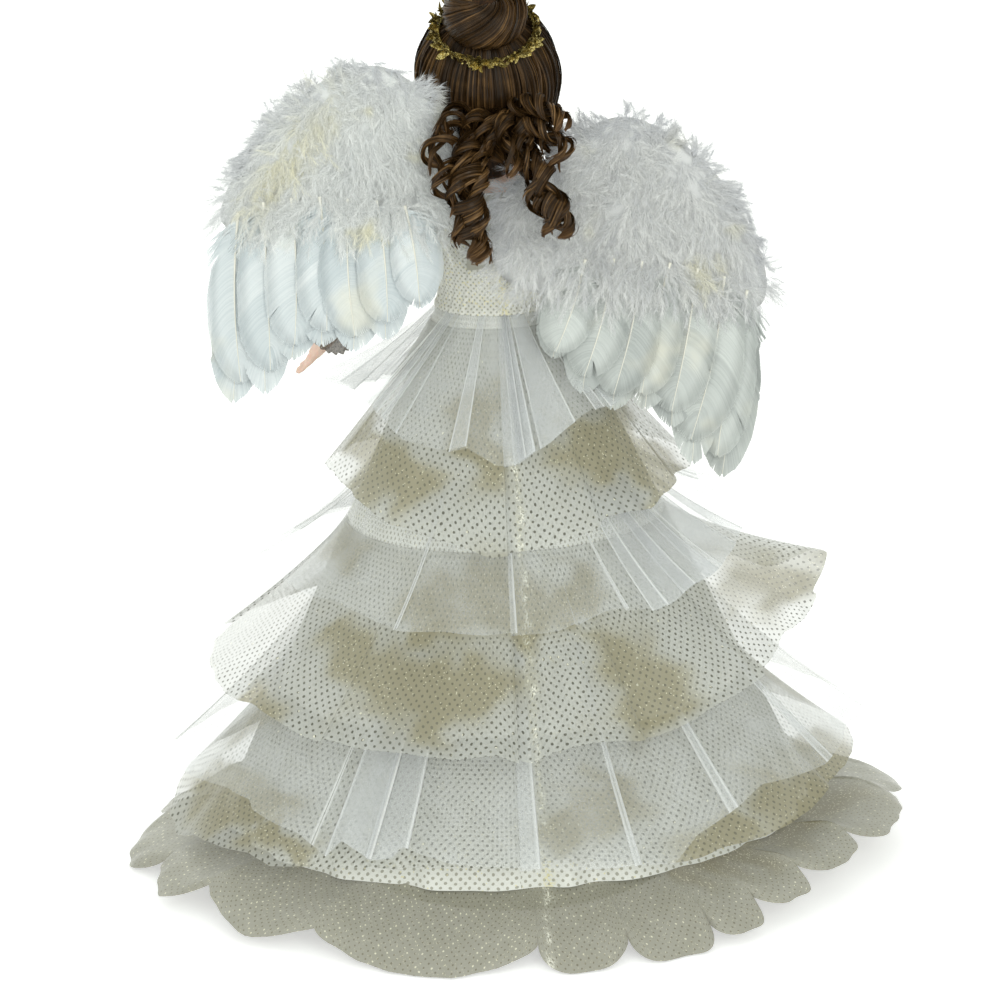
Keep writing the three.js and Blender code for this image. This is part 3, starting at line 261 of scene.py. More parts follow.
class Shade:
    """Adds nodes to one node tree and links them as it goes."""

    def __init__(self, tree, material=None):
        self.tree = tree
        self.material = material

    def add(self, kind, inputs=None, **settings):
        node = self.tree.nodes.new(kind)
        for name, value in settings.items():
            setattr(node, name, value)
        for name, value in (inputs or {}).items():
            self.feed(node.inputs[name], value)
        return node

    def feed(self, socket, value):
        if isinstance(value, bpy.types.NodeSocket):
            self.tree.links.new(value, socket)
        else:
            socket.default_value = value

    def feed_all(self, node, inputs):
        """Feed a node's inputs, whose names have _ for a space."""
        for name, value in inputs.items():
            self.feed(node.inputs[name.replace("_", " ")], value)
        return node

    def maths(self, operation, first, second=0, clamp=False):
        node = self.add("ShaderNodeMath", {0: first, 1: second}, operation=operation, use_clamp=clamp)
        return node.outputs[0]

    def times(self, first, second):
        return self.maths("MULTIPLY", first, second)

    def vector(self, operation, first, second=(0, 0, 0)):
        node = self.add("ShaderNodeVectorMath", {0: first, 1: second}, operation=operation)
        return node.outputs["Value" if operation == "LENGTH" else "Vector"]

    def scaled(self, first, scale):
        node = self.add("ShaderNodeVectorMath", {0: first, "Scale": scale}, operation="SCALE")
        return node.outputs["Vector"]

    def blend(self, share, first, second):
        node = self.add("ShaderNodeMix", {0: share, 6: first, 7: second}, data_type="RGBA")
        return node.outputs[2]

    def between(self, value, low, high, start=0, end=1):
        inputs = {0: value, 1: low, 2: high, 3: start, 4: end}
        return self.add("ShaderNodeMapRange", inputs, interpolation_type="SMOOTHSTEP").outputs[0]

    def value_of(self, title):
        return self.add("ShaderNodeAttribute", attribute_name=title).outputs["Fac"]

    def noise(self, where, scale, detail=3):
        inputs = {"Vector": where, "Scale": scale, "Detail": detail, "Roughness": 0.55}
        return self.add("ShaderNodeTexNoise", inputs).outputs["Fac"]

    def relief(self, height, distance, strength=0.5):
        inputs = {"Height": height, "Distance": distance, "Strength": strength}
        return self.add("ShaderNodeBump", inputs).outputs[0]

    def group(self, tree, **inputs):
        return self.feed_all(self.add("ShaderNodeGroup", node_tree=GROUPS[tree]), inputs).outputs

    def surface(self, **inputs):
        """The material itself, with the inputs of its Principled shader fed."""
        self.feed_all(self.tree.nodes["Principled BSDF"], inputs)
        return self.material


GROUPS = {}


def new_group(name, inputs, outputs, build):
    """A shader node group of masks and shades. inputs maps names to defaults, and build returns a socket for
    each output."""
    tree = bpy.data.node_groups.new(name, "ShaderNodeTree")
    for title, default in inputs.items():
        kind = "NodeSocketVector" if isinstance(default, tuple) else "NodeSocketFloat"
        tree.interface.new_socket(title, in_out="INPUT", socket_type=kind).default_value = default
    for title in outputs:
        tree.interface.new_socket(title, in_out="OUTPUT", socket_type="NodeSocketFloat")
    shade = Shade(tree)
    given = tree.nodes.new("NodeGroupInput").outputs
    shade.feed_all(tree.nodes.new("NodeGroupOutput"), build(shade, {title: given[title] for title in inputs}))
    return tree


def dot_lattice(shade, given):
    """Staggered dots, a little out of line, on cloth laid out in metres."""
    stray = shade.add("ShaderNodeTexNoise", {"Vector": given["Place"], "Scale": 190, "Detail": 1})
    shift = shade.vector("SUBTRACT", stray.outputs["Color"], (0.5, 0.5, 0.5))
    moved = shade.scaled(shift, shade.times(given["Spacing"], 0.35))
    density = shade.maths("DIVIDE", 1, given["Spacing"])
    spread = shade.scaled(shade.vector("ADD", given["Place"], moved), density)
    reaches = []
    for step in (0, 0.5):
        cell = shade.vector("FRACTION", shade.vector("ADD", spread, (step, step, 0)))
        middle = shade.vector("SUBTRACT", cell, (0.5, 0.5, 0))
        reaches.append(shade.vector("LENGTH", shade.vector("MULTIPLY", middle, (1, 1, 0))))
    size = shade.maths("DIVIDE", given["Radius"], given["Spacing"])
    return {"Dot": shade.between(shade.maths("MINIMUM", *reaches), size, shade.times(size, 0.72))}


def glitter_flakes(shade, given):
    """Flakes of glitter: a mask of the bright ones, and a tint for each."""
    inputs = {"Vector": given["Place"], "Scale": given["Scale"], "Randomness": 1}
    cells = shade.add("ShaderNodeTexVoronoi", inputs)
    chance = shade.add("ShaderNodeSeparateColor", {0: cells.outputs["Color"]})
    picked = shade.maths("GREATER_THAN", chance.outputs[0], shade.maths("SUBTRACT", 1, given["Share"]))
    core = shade.maths("LESS_THAN", cells.outputs["Distance"], given["Size"])
    return {"Flake": shade.times(picked, core), "Tint": chance.outputs[1]}


def fine_cloth(shade, given):
    """The grain of fine net or cloth: a height, and a shade that varies a little."""
    grain = shade.noise(given["Place"], given["Scale"], 2)
    cloud = shade.noise(given["Place"], shade.times(given["Scale"], 0.06))
    both = shade.maths("ADD", shade.times(grain, 0.6), shade.times(cloud, 0.4))
    return {"Shade": shade.between(both, 0.3, 0.7), "Height": grain}


def build_groups():
    """The node groups that several materials use."""
    origin = (0, 0, 0)
    dots = {"Place": origin, "Spacing": 3 * MM, "Radius": 0.55 * MM}
    GROUPS["dots"] = new_group("Dot lattice", dots, ("Dot",), dot_lattice)
    flakes = {"Place": origin, "Scale": 900, "Share": 0.15, "Size": 0.5}
    GROUPS["glitter"] = new_group("Glitter flakes", flakes, ("Flake", "Tint"), glitter_flakes)
    grain = {"Place": origin, "Scale": 900}
    GROUPS["grain"] = new_group("Fine cloth", grain, ("Shade", "Height"), fine_cloth)


def new_material(name, coordinates):
    """The Shade of a new material with one Principled shader, and the places that its patterns lie on:
    UV for cloth laid out flat, Object for what is solid."""
    material = bpy.data.materials.new(name)
    material.use_nodes = True
    shade = Shade(material.node_tree, material)
    return shade, shade.add("ShaderNodeTexCoord").outputs[coordinates]


def net_material(name, pale, gold, dark, opacity, gold_opacity, spacing, dot, flake_share, lit_from):
    """Net with printed glitter dots of a radius given as dot, over which patches of a golden layer show
    through. Some dots have painted glints: fewer where lit_from is higher. A painted highlight runs
    along the seam, and the glitter flakes are painted bright as glints."""
    shade, where = new_material(name, "UV")
    grain = shade.group("grain", Place=where, Scale=1500)
    dots = shade.group("dots", Place=where, Spacing=spacing, Radius=dot)
    flakes = shade.group("glitter", Place=where, Scale=1500, Share=flake_share, Size=0.45)
    drift = shade.times(shade.maths("SUBTRACT", shade.noise(where, 55), 0.5), 0.35)
    patch = shade.between(shade.maths("ADD", shade.value_of("gold"), drift), 0.02, 0.95)
    # This mask breaks the painted highlight along the seam into patches
    fading = shade.between(shade.noise(where, 150, 2), 0.44, 0.56, 0.12, 1)
    glow = shade.times(shade.between(shade.noise(where, 900, 2), 0.42, 0.56), fading)
    # Painted highlight along the back seam: near-white and opaque
    seam_highlight = shade.times(shade.value_of("seam"), glow)
    # Painted glints: where lit, dots turn from the dark print to pale
    lit = shade.between(shade.noise(where, 270, 1), lit_from, lit_from + 0.05)
    base = shade.blend(patch, pale, gold)
    base = shade.blend(shade.times(grain["Shade"], 0.2), base, dark)
    shown = shade.times(dots["Dot"], shade.between(patch, 0, 1, 0.9, 0.62))
    base = shade.blend(shown, base, shade.blend(lit, dark, paint(240, 236, 212)))
    base = shade.blend(seam_highlight, base, paint(250, 248, 234))
    # Glitter flakes, painted bright as glints, and smoother
    bright = shade.times(flakes["Flake"], shade.between(patch, 0, 1, 0.3, 1))
    weave = shade.between(grain["Shade"], 0, 1, -0.05, 0.05)
    layer = shade.between(patch, 0, 1, opacity, gold_opacity)
    opaque = shade.maths("MAXIMUM", shade.maths("ADD", layer, weave, clamp=True),
                         shade.maths("MAXIMUM", shown, seam_highlight))
    return shade.surface(
        Base_Color=shade.blend(bright, base, paint(240, 234, 205)), Alpha=opaque,
        Roughness=shade.blend(bright, paint(150, 150, 150), paint(90, 90, 90)),
        Normal=shade.relief(grain["Height"], 0.15 * MM), Specular_IOR_Level=0.35, Sheen_Weight=0.15)


def tulle_material():
    """White bridal net: matt and see-through. Where it lies doubled at its folded edges it is more opaque,
    and whiter partly from a painted highlight.
    """
    shade, where = new_material("white_tulle", "UV")
    grain = shade.group("grain", Place=where, Scale=1700)
    tone = shade.blend(grain["Shade"], paint(240, 242, 243), paint(226, 229, 232))
    weave = shade.between(grain["Shade"], 0, 1, 0.17, 0.31)
    thick = shade.maths("ADD", weave, shade.between(shade.noise(where, 35, 2), 0.4, 0.7, -0.04, 0.08))
    # Folded edges: more opaque as doubled net, and whiter, partly as a painted highlight
    crease = shade.times(shade.value_of("edge"), 0.55)
    return shade.surface(
        Base_Color=shade.blend(shade.value_of("edge"), tone, paint(248, 249, 249)),
        Alpha=shade.maths("ADD", thick, crease, clamp=True), Normal=shade.relief(grain["Height"], 0.12 * MM),
        Roughness=0.8, Specular_IOR_Level=0.2, Sheen_Weight=0.3)


def satin_material(name, base, glitter, spacing):
    """Polyester satin with printed glitter dots, painted glints on its flakes and a painted highlight along
    its seam.
    """
    shade, where = new_material(name, "UV")
    grain = shade.group("grain", Place=where, Scale=1400)
    dots = shade.group("dots", Place=where, Spacing=spacing, Radius=spacing * 0.2)
    flakes = shade.group("glitter", Place=where, Scale=1300, Share=glitter, Size=0.5)
    # A painted highlight along the back seam, broken into patches
    glow = shade.between(shade.noise(where, 800, 1), 0.46, 0.56)
    seam_highlight = shade.times(shade.value_of("seam"), glow)
    tone = shade.blend(shade.times(grain["Shade"], 0.35), base, paint(196, 196, 184))
    tone = shade.blend(shade.times(dots["Dot"], 0.7), tone, paint(134, 130, 108))
    # The seam's painted highlight and the glitter flakes, painted pale gold as glints
    tone = shade.blend(shade.maths("MAXIMUM", seam_highlight, flakes["Flake"]), tone, paint(236, 228, 184))
    return shade.surface(
        Base_Color=tone, Roughness=shade.between(grain["Shade"], 0, 1, 0.27, 0.38),
        Normal=shade.relief(grain["Height"], 0.1 * MM), Sheen_Weight=0.2)


# Skirt

WAIST_HEIGHT = 262 * MM
WAIST_HALF_WIDTH = 25.5 * MM
WAIST_HALF_DEPTH = 19.5 * MM
LINING_HEM_HEIGHT = 24 * MM
HEM_HALF_WIDTH = 134 * MM
HEM_HALF_DEPTH = 108 * MM
CLOTH_STANDOFF = 0.8 * MM


def lining_half(height):
    share = (WAIST_HEIGHT - height) / (WAIST_HEIGHT - LINING_HEM_HEIGHT)
    return (mix(WAIST_HALF_WIDTH, HEM_HALF_WIDTH, share),
            mix(WAIST_HALF_DEPTH, HEM_HALF_DEPTH, share))


def skirt_points(turn, height, side_out, back_out):
    half_width, half_depth = lining_half(height)
    x = (half_width + side_out) * np.cos(turn)
    y = (half_depth + back_out) * np.sin(turn)
    return np.stack([x, y, np.broadcast_to(height, x.shape)], -1)


# Patches of the golden layer that show at the back: middle and half sizes in the photograph's pixels
GOLD_PATCHES = (
    (385, 482, 46, 34), (372, 455, 30, 30), (482, 440, 26, 60), (610, 452, 66, 34), (652, 470, 40, 40),
    (345, 540, 34, 26), (455, 600, 64, 44), (520, 620, 40, 30), (568, 590, 26, 34),
    (752, 572, 42, 46), (640, 685, 46, 52), (430, 690, 84, 44), (355, 660, 30, 40),
    (240, 808, 46, 22), (290, 842, 40, 16), (206, 780, 40, 26), (588, 812, 50, 36),
    (850, 762, 50, 46), (790, 800, 50, 40), (730, 850, 50, 30), (236, 722, 40, 30),
)


def gold_share(points, seed):
    """How much of the golden layer shows at each point: placed at the back, wandering at the front."""
    px, py = pixels_of(points)
    px = px + 15 * np.sin(py / 17 + 1.7) + 9 * np.sin(py / 7.3 + px / 21)
    py = py + 11 * np.sin(px / 19 + 0.4) + 7 * np.sin(px / 8.1 - py / 13)
    placed = np.zeros(points.shape[:-1])
    for middle_x, middle_y, half_x, half_y in GOLD_PATCHES:
        reach = np.hypot((px - middle_x) / half_x, (py - middle_y) / half_y)
        placed = np.maximum(placed, 1 - smooth(0.4, 1.65, reach))
    turn = np.arctan2(points[..., 1], points[..., 0])
    rise = points[..., 2] / WAIST_HEIGHT
    ahead = np.sin(5 * turn + 2 * np.sin(9 * rise) + seed)
    above = np.sin(21 * rise + 2.3 * np.cos(3 * turn) + 2 * seed)
    free = smooth(0.25, 0.95, 0.62 * (ahead + above) + 0.2 * np.sin(23 * turn + 30 * rise))
    back = smooth(-20 * MM, 20 * MM, points[..., 1])
    return mix(free, placed, back)


def seam_share(points):
    """How near each point is to the seam down the middle of the back, which wanders to the doll's right."""
    height = points[..., 2]
    stray = 0.9 * MM * np.sin(height / (6.1 * MM)) + 0.7 * MM * np.sin(height / (2.3 * MM) + 1)
    middle = mix(-12 * MM, -3 * MM, height / WAIST_HEIGHT) + stray
    breadth = mix(1 * MM, 2.1 * MM, 0.5 + 0.5 * np.sin(height / (4.7 * MM) + 2))
    return bump(points[..., 0] - middle, breadth) * (points[..., 1] > 0)


def pleat_corners(rng, tier):
    """Corners of the folded cloth all round from the back seam: the turn, and how far it is out or in.
    The cloth runs forward over a panel and back under it, further back where it is gathered."""
    narrow, wide = np.radians(tier["panel"])
    turns, outs = [math.pi / 2], [-1]
    while turns[-1] < math.pi / 2 + TAU:
        start = turns[-1]
        here = math.degrees(start) % 360
        dense = any((here - low) % 360 < (high - low) % 360 for low, high in tier.get("arcs", ()))
        width = mix(narrow, wide, rng.random() ** 1.4) * (tier["dense"] if dense else 1)
        back = width * rng.uniform(*tier["gathered" if dense else "overlap"])
        calm = smooth(0.8, 0.96, abs(math.cos(start)))
        width *= 1 + 1.4 * calm
        back *= 1 - 0.8 * calm
        turns += [start + width, start + width - back]
        outs += [rng.uniform(0.3, 1), rng.uniform(-1, -0.3)]
    turns = np.array(turns)
    turns = math.pi / 2 + (turns - math.pi / 2) * TAU / (turns[-1] - math.pi / 2)
    return turns, np.array(outs)


def fold_line(turns, outs, step, softness):
    """The corners as many points, rounded over as many of them as softness says."""
    lengths = np.maximum(2, np.ceil(np.abs(np.diff(turns)) / step + 1)).astype(int)
    fine_turns, fine_outs = [], []
    for i, count in enumerate(lengths):
        share = np.linspace(0, 1, count, endpoint=False)
        fine_turns.append(mix(turns[i], turns[i + 1], share))
        fine_outs.append(mix(outs[i], outs[i + 1], share))
    turn = np.concatenate(fine_turns + [turns[-1:]])
    out = np.concatenate(fine_outs + [outs[-1:]])
    for line in [turn, out] * softness:
        line[1:-1] = 0.25 * line[:-2] + 0.5 * line[1:-1] + 0.25 * line[2:]
    return turn, out


# Tiers from the waist down. Heights are shares of the waist's, outs are millimetres off the lining at
# the hem, and arcs are where the cloth is gathered densely, in degrees from the doll's left. The tiers
# of tulle have arcs, and the others are of dotted net
TIERS = (
    dict(name="peplum_tulle", top=0.994, hem=0.812, side=28, back=20, drop=0.1, lift=0, bell=1.15,
         panel=(11, 36), dense=0.6, overlap=(0.05, 0.4), gathered=(0.3, 0.85), depth=2.6, soft=1,
         arcs=((18, 44), (80, 100), (106, 128), (150, 215), (290, 330))),
    dict(name="ruffle_dotted_upper", top=0.97, hem=0.69, side=19, back=22, drop=1, lift=-0.1, bell=1.4,
         panel=(26, 44), overlap=(0, 0.08), depth=2.2, soft=20),
    dict(name="ruffle_tulle_upper", top=0.73, hem=0.57, side=30, back=29, drop=0.9, lift=0.9, bell=1.8,
         panel=(13, 36), dense=0.78, overlap=(0.02, 0.16), gathered=(0.3, 0.8), depth=2.4, soft=1,
         arcs=((106, 168), (8, 24), (240, 300))),
    dict(name="ruffle_dotted_middle", top=0.62, hem=0.395, side=37, back=32, drop=1, lift=0.8, bell=1.4,
         panel=(24, 42), overlap=(0, 0.1), depth=3.2, soft=16),
    dict(name="ruffle_tulle_lower", top=0.47, hem=0.2, side=30, back=22, drop=0.8, lift=0.35, bell=1.3,
         panel=(12, 34), dense=0.66, overlap=(0.02, 0.12), gathered=(0.3, 0.8), depth=2.6, soft=1,
         arcs=((34, 74), (112, 126), (134, 152), (225, 320))),
    dict(name="ruffle_dotted_lower", top=0.33, hem=0.145, side=22, back=11.5, drop=0.5, lift=0.2, bell=1.2,
         panel=(22, 38), overlap=(0, 0.1), depth=3, soft=14),
)
# Corners and dips of each tier's hem at the back, read on the photograph, in its pixels
HEM_MARKS = (
    ((305, 377), (322, 392), (336, 409), (368, 404), (373, 409), (402, 438), (421, 445), (440, 450),
     (467, 448), (497, 467), (515, 467), (540, 450), (568, 427), (590, 409), (622, 396)),
    ((326, 459), (331, 472), (351, 490), (376, 513), (399, 524), (424, 535), (459, 548), (491, 558),
     (520, 554), (559, 543), (587, 532), (607, 519), (633, 510), (650, 508), (663, 493), (680, 475)),
    ((272, 577), (302, 591), (330, 600), (392, 629), (411, 631), (445, 630), (488, 634), (518, 632),
     (560, 630), (607, 614), (633, 612), (659, 610), (676, 599), (694, 584), (709, 575), (724, 560),
     (739, 536), (741, 486)),
    ((213, 638), (219, 683), (240, 697), (259, 710), (289, 725), (330, 742), (401, 757), (454, 761),
     (497, 756), (530, 766), (554, 753), (590, 744), (623, 740), (656, 737), (688, 722), (730, 697),
     (775, 660), (789, 633), (807, 610), (836, 552)),
    ((172, 750), (178, 760), (227, 788), (247, 800), (250, 811), (277, 827), (297, 836), (322, 858),
     (338, 842), (368, 860), (392, 858), (403, 847), (450, 862), (520, 870), (600, 868), (640, 866),
     (677, 864), (700, 835), (727, 818), (765, 785), (790, 778), (825, 763), (847, 727), (860, 704)),
    ((176, 836), (192, 836), (223, 847), (250, 852), (271, 866), (314, 867), (364, 868), (450, 868),
     (520, 866), (581, 862), (672, 862), (708, 853), (746, 846), (798, 818), (823, 790), (847, 730)),
)
BACK_DROP = 8 * MM
RIGHT_LIFT = 12 * MM
TIER_ROWS = 18


def usual_hem(tier, turn):
    """The height that a tier's hem would have without the marks."""
    return (tier["hem"] * WAIST_HEIGHT - tier["lift"] * RIGHT_LIFT * np.cos(turn)
            - tier["drop"] * BACK_DROP * np.maximum(0, np.sin(turn)))


def hem_places(tier, marks):
    """Turn, height and corner reach where each mark on a tier's hem shows in the photograph: the nearest
    to its usual hem, and in order round the doll."""
    turn = np.radians(np.arange(-12, 193, 0.5))
    turns, corners = np.meshgrid(turn, np.arange(-1, 22) * MM)
    out = CLOTH_STANDOFF + 0.6 * tier["depth"] * MM + corners
    usual = usual_hem(tier, turns)
    small = 0.1 * MM

    def shown(height):
        return pixels_of(skirt_points(turns, height, out + tier["side"] * MM, out + tier["back"] * MM))

    places = []
    least = turn[0]
    for mark_x, mark_y in marks:
        height = usual
        for _ in range(3):
            low_y, high_y = shown(height)[1], shown(height + small)[1]
            height = height + (mark_y - low_y) / (high_y - low_y) * small
        misfit = (2 * np.abs(shown(height)[0] - mark_x) + 0.8 * np.abs(corners) / MM
                  + 0.35 * np.abs(height - usual) / MM)
        best = np.unravel_index(np.argmin(np.where(turns < least, np.inf, misfit)), misfit.shape)
        least = turns[best] + math.radians(1)
        places.append((math.degrees(turns[best]), height[best], corners[best]))
    return np.array(places)


def hem_line(tier, marks, turn):
    """A tier's hem at each turn: its height, and how far it stands out in its corners."""
    places = hem_places(tier, marks)
    angle = np.degrees(np.angle(np.exp(1j * (turn - math.pi / 2)))) + 90
    first, last = places[0, 0], places[-1, 0]
    placed = smooth(first - 22, first, angle) * smooth(last + 22, last, angle)
    height = mix(usual_hem(tier, turn), np.interp(angle, places[:, 0], places[:, 1]), placed)
    return height, np.interp(angle, places[:, 0], places[:, 2]) * placed


def tier_mesh(tier, marks, seed):
    """One gathered tier as (points, faces, uvs, values), open along the seam at the back."""
    rng = np.random.default_rng(seed)
    tulle = "arcs" in tier
    turn, out = fold_line(*pleat_corners(rng, tier), math.radians(0.6), tier["soft"])
    share = evenly(TIER_ROWS)[:, None]
    hem, corner_out = hem_line(tier, marks, turn)
    spread = share ** tier["bell"]
    slow = wander(turn, seed + 2, 2)
    crease = wander(turn * 5, seed + 3, 3)
    if tulle:
        out = out * (1 - 0.75 * smooth(0.86, 0.98, np.abs(np.cos(turn))))
    fold = (tier["depth"] * MM * out * (0.12 + 0.88 * share) + 1.6 * MM * slow * spread
            + 0.35 * MM * crease * share)
    step = 1.7 * MM * out if tulle else 0
    height = mix(tier["top"] * WAIST_HEIGHT, hem + step + 0.5 * MM * wander(turn * 2, seed + 1), share)
    stand = CLOTH_STANDOFF + tier["depth"] * MM * 0.6 * share + fold + corner_out * spread * share
    points = skirt_points(turn + 0 * share, height, stand + spread * tier["side"] * MM,
                          stand + spread * tier["back"] * MM)
    return cloth_from(points, seed, edge=tulle)


def cloth_from(points, seed, edge=False):
    """Cloth laid over a grid of points, with the places on its flat cut in metres as uvs."""
    rows, columns = shape = points.shape[:2]
    across = np.linalg.norm(np.diff(points, axis=1), axis=-1)
    down = np.linalg.norm(np.diff(points, axis=0), axis=-1)
    hem_run = np.concatenate([[0], np.cumsum(across[-1])])
    fall = np.concatenate([[0], np.cumsum(down.mean(1))])
    uvs = np.stack([np.broadcast_to(hem_run, shape), np.broadcast_to(fall[:, None], shape)], -1)
    turned = np.zeros(shape)
    if edge:
        slope = np.gradient(np.unwrap(np.arctan2(points[-1, :, 1], points[-1, :, 0])))
        turned[:] = np.clip(np.abs(np.gradient(np.sign(slope))), 0, 1)
    values = {"gold": gold_share(points, seed), "seam": seam_share(points), "edge": turned}
    return points, grid_faces(rows, columns), uvs, values


def hang_cloth(name, cloth, material, body, node):
    """A sheet of cloth as an object, with its material and body."""
    thing = place(new_object(name, *cloth), material, body, node)


# The flounce is sewn inside the lining, comes out under its hem and hangs in scallops. Where each one
# starts, in turns round the skirt, how high the hem is lifted there and in the scallop's middle, and
# how far its middle reaches out
SCALLOP_SHARES = (
    (0.033, 0.33, 0.2, 1.3), (0.089, 0.6, 0.15, 1), (0.158, 0.45, 0, 1), (0.256, 0.33, 0, 1),
    (0.294, 0.3, 0, 1), (0.331, 0.3, 0.2, 1), (0.356, 0.55, 0.45, 1), (0.386, 0.8, 0.65, 1),
    (0.431, 0.9, 0.6, 1.4), (0.508, 0.7, 0.25, 1.8), (0.569, 0.45, 0.05, 1), (0.628, 0.55, 0, 1.2),
    (0.683, 0.4, 0, 1), (0.744, 0.5, 0, 1.1), (0.803, 0.45, 0, 1), (0.858, 0.55, 0, 1.2),
    (0.911, 0.4, 0.05, 1), (0.972, 0.5, 0, 1.2),
)
FLOUNCE_SEWN_HEIGHT = 66 * MM
FLOUNCE_FOOT_HEIGHT = 0.6 * MM
FLOUNCE_SIDE_OUT = 37 * MM
FLOUNCE_BACK_OUT = 31 * MM
FLOUNCE_CUSP_DEPTH = 9 * MM
FLOUNCE_LIFT_HEIGHT = 24 * MM
FLOUNCE_INSIDE = -2.4 * MM
SCALLOP_COLUMNS = 30
# Which scallops end in points and which in square tabs, in turns round the skirt
POINTED_LOBES = (0, 0.15)
SQUARE_LOBES = (0.28, 0.48)


def flounce_mesh(seed):
    """The glitter net that comes out under the lining's hem, with a scalloped hem of its own."""
    rng = np.random.default_rng(seed)
    turn, drawn, lift = [], [], []
    for i, (start, cusp, hang, reach) in enumerate(SCALLOP_SHARES):
        after, next_cusp = SCALLOP_SHARES[(i + 1) % len(SCALLOP_SHARES)][:2]
        width = (after - start) % 1
        within = 0.5 - 0.5 * np.cos(np.linspace(0, math.pi, SCALLOP_COLUMNS, endpoint=False))
        skewed = within ** rng.uniform(0.75, 1.35)
        round_off, steep = rng.uniform(1.4, 2.6), rng.uniform(1.1, 1.8)
        if POINTED_LOBES[0] <= start < POINTED_LOBES[1]:
            round_off, steep = rng.uniform(1, 1.25), rng.uniform(1, 1.2)
        elif SQUARE_LOBES[0] <= start < SQUARE_LOBES[1]:
            round_off, steep = rng.uniform(3, 5), rng.uniform(1.4, 2.2)
        fullness = (1 - np.abs(2 * skewed - 1) ** round_off) ** (1 / steep)
        turn.append(TAU * (start + width * within))
        drawn.append(1 - reach * fullness)
        lift.append(mix(mix(cusp, next_cusp, within), hang, fullness))
    turn, drawn, lift = np.concatenate(turn), np.concatenate(drawn), np.concatenate(lift)
    first = int(np.argmin(np.abs(turn - math.pi / 2)))
    order = np.concatenate([np.arange(first, len(turn)), np.arange(first + 1)])
    turn, drawn, lift = turn[order], drawn[order], lift[order]
    down = evenly(22)[:, None] ** 0.8
    out = smooth(0.62, 1.12, down)
    out = out * 2 - out ** 2
    out = out / out[-1]
    height = mix(FLOUNCE_SEWN_HEIGHT, FLOUNCE_FOOT_HEIGHT, down) + out * lift * FLOUNCE_LIFT_HEIGHT
    crease = out * 0.8 * MM * wander(turn * 7, seed) + out * 1.3 * MM * wander(turn * 2, seed + 1)
    fold = FLOUNCE_INSIDE - out * FLOUNCE_CUSP_DEPTH * drawn + crease
    points = skirt_points(turn + 0 * down, height, fold + out * FLOUNCE_SIDE_OUT,
                          fold + out * FLOUNCE_BACK_OUT)
    points[..., 2] = np.maximum(points[..., 2], 0.4 * MM)
    return cloth_from(points, seed)


def lining_mesh(seed):
    """The dotted satin underskirt: a smooth bell with a straight hem and a few shallow folds."""
    turn = math.pi / 2 + np.linspace(0, TAU, 360)
    share = evenly(26)[:, None]
    height = mix(0.998 * WAIST_HEIGHT, LINING_HEM_HEIGHT, share)
    fold = 1.5 * MM * share ** 1.6 * wander(turn * 2, seed) + 0.9 * MM * share * wander(turn * 5, seed + 5)
    points = skirt_points(turn + 0 * share, height, fold, fold)
    return cloth_from(points, seed)


# Bodice and body

# Height, half width and half depth of the cloth body, from the waist up
BODICE_ROWS = np.array((
    (259.6, 26.9, 20.9), (261.5, 26.6, 20.6), (263.4, 25.5, 19.5), (268, 24.9, 18.5), (276, 25.8, 18.5),
    (284, 27, 19), (293, 28.6, 18.8), (301, 29.6, 18.6), (309, 29.8, 18.7))) * MM
DART_ANGLES = (235, 262, 278, 305, 60, 120)


def oval_rows(rows, turn, count):
    """Rows of points round an oval body, smoothed between the rows given."""
    height = np.linspace(rows[0, 0], rows[-1, 0], count)
    fine = curve_through(rows, 200)
    half_width, half_depth = (np.interp(height, fine[:, 0], fine[:, axis])[:, None] for axis in (1, 2))
    x = half_width * np.cos(turn)
    return np.stack([x, half_depth * np.sin(turn), np.broadcast_to(height[:, None], x.shape)], -1)


def bodice_mesh(seed):
    turn = math.pi / 2 + np.linspace(0, TAU, 260)
    points = oval_rows(BODICE_ROWS, turn, 30)[::-1]
    share = evenly(30)[:, None]
    darts = sum(bump(np.angle(np.exp(1j * (turn - math.radians(angle)))), 0.035) for angle in DART_ANGLES)
    crease = 0.28 * MM * wander(turn * 6 + 3 * share, seed) * (0.4 + share)
    out = 0.7 * MM - 0.45 * MM * darts * smooth(0.15, 0.4, share) + crease
    return cloth_from(points + unit(points * np.array([1, 1, 0])) * out[..., None], seed)


# Wings, laid out flat: across runs out from the stud, back towards the photograph, and up

WING_SPAN = 110 * MM
WING_RISE = 70 * MM
STUD_OUT = 8 * MM
FEATHER_BACK = 27.05 * MM
COVERT_BACK = 31.55 * MM
LEAN_SHARE = 0.15
CURL_SHARE = 0.161
SHINGLE = math.radians(12)
WING_SIDES = {"left": (1, 308 * MM, 0), "right": (-1, 288 * MM, math.radians(13.6))}
BACKWARDS = np.array([0, 1, 0])

FLIGHT_FEATHERS = (
    # root and tip in shares of the span and the rise, width in shares of the span, and bend
    ((0.88, 0.12), (0.985, -1.09), 0.235, 0.55), ((0.77, 0.1), (0.855, -1.03), 0.225, 0.7),
    ((0.66, 0.08), (0.745, -0.83), 0.23, 0.85), ((0.55, 0.06), (0.625, -0.75), 0.23, 1),
    ((0.44, 0.04), (0.5, -0.79), 0.22, 1), ((0.33, 0.02), (0.37, -0.73), 0.2, 1.05),
    ((0.22, 0), (0.23, -0.56), 0.18, 1.05),
)
COVERTS = (
    ((0.87, 0.1), (0.94, -0.6), 0.2, 0.55), ((0.72, 0.1), (0.8, -0.6), 0.22, 0.65),
    ((0.58, 0.1), (0.66, -0.5), 0.22, 0.7), ((0.45, 0.1), (0.5, -0.5), 0.21, 0.75),
    ((0.32, 0.1), (0.33, -0.4), 0.2, 0.8),
)
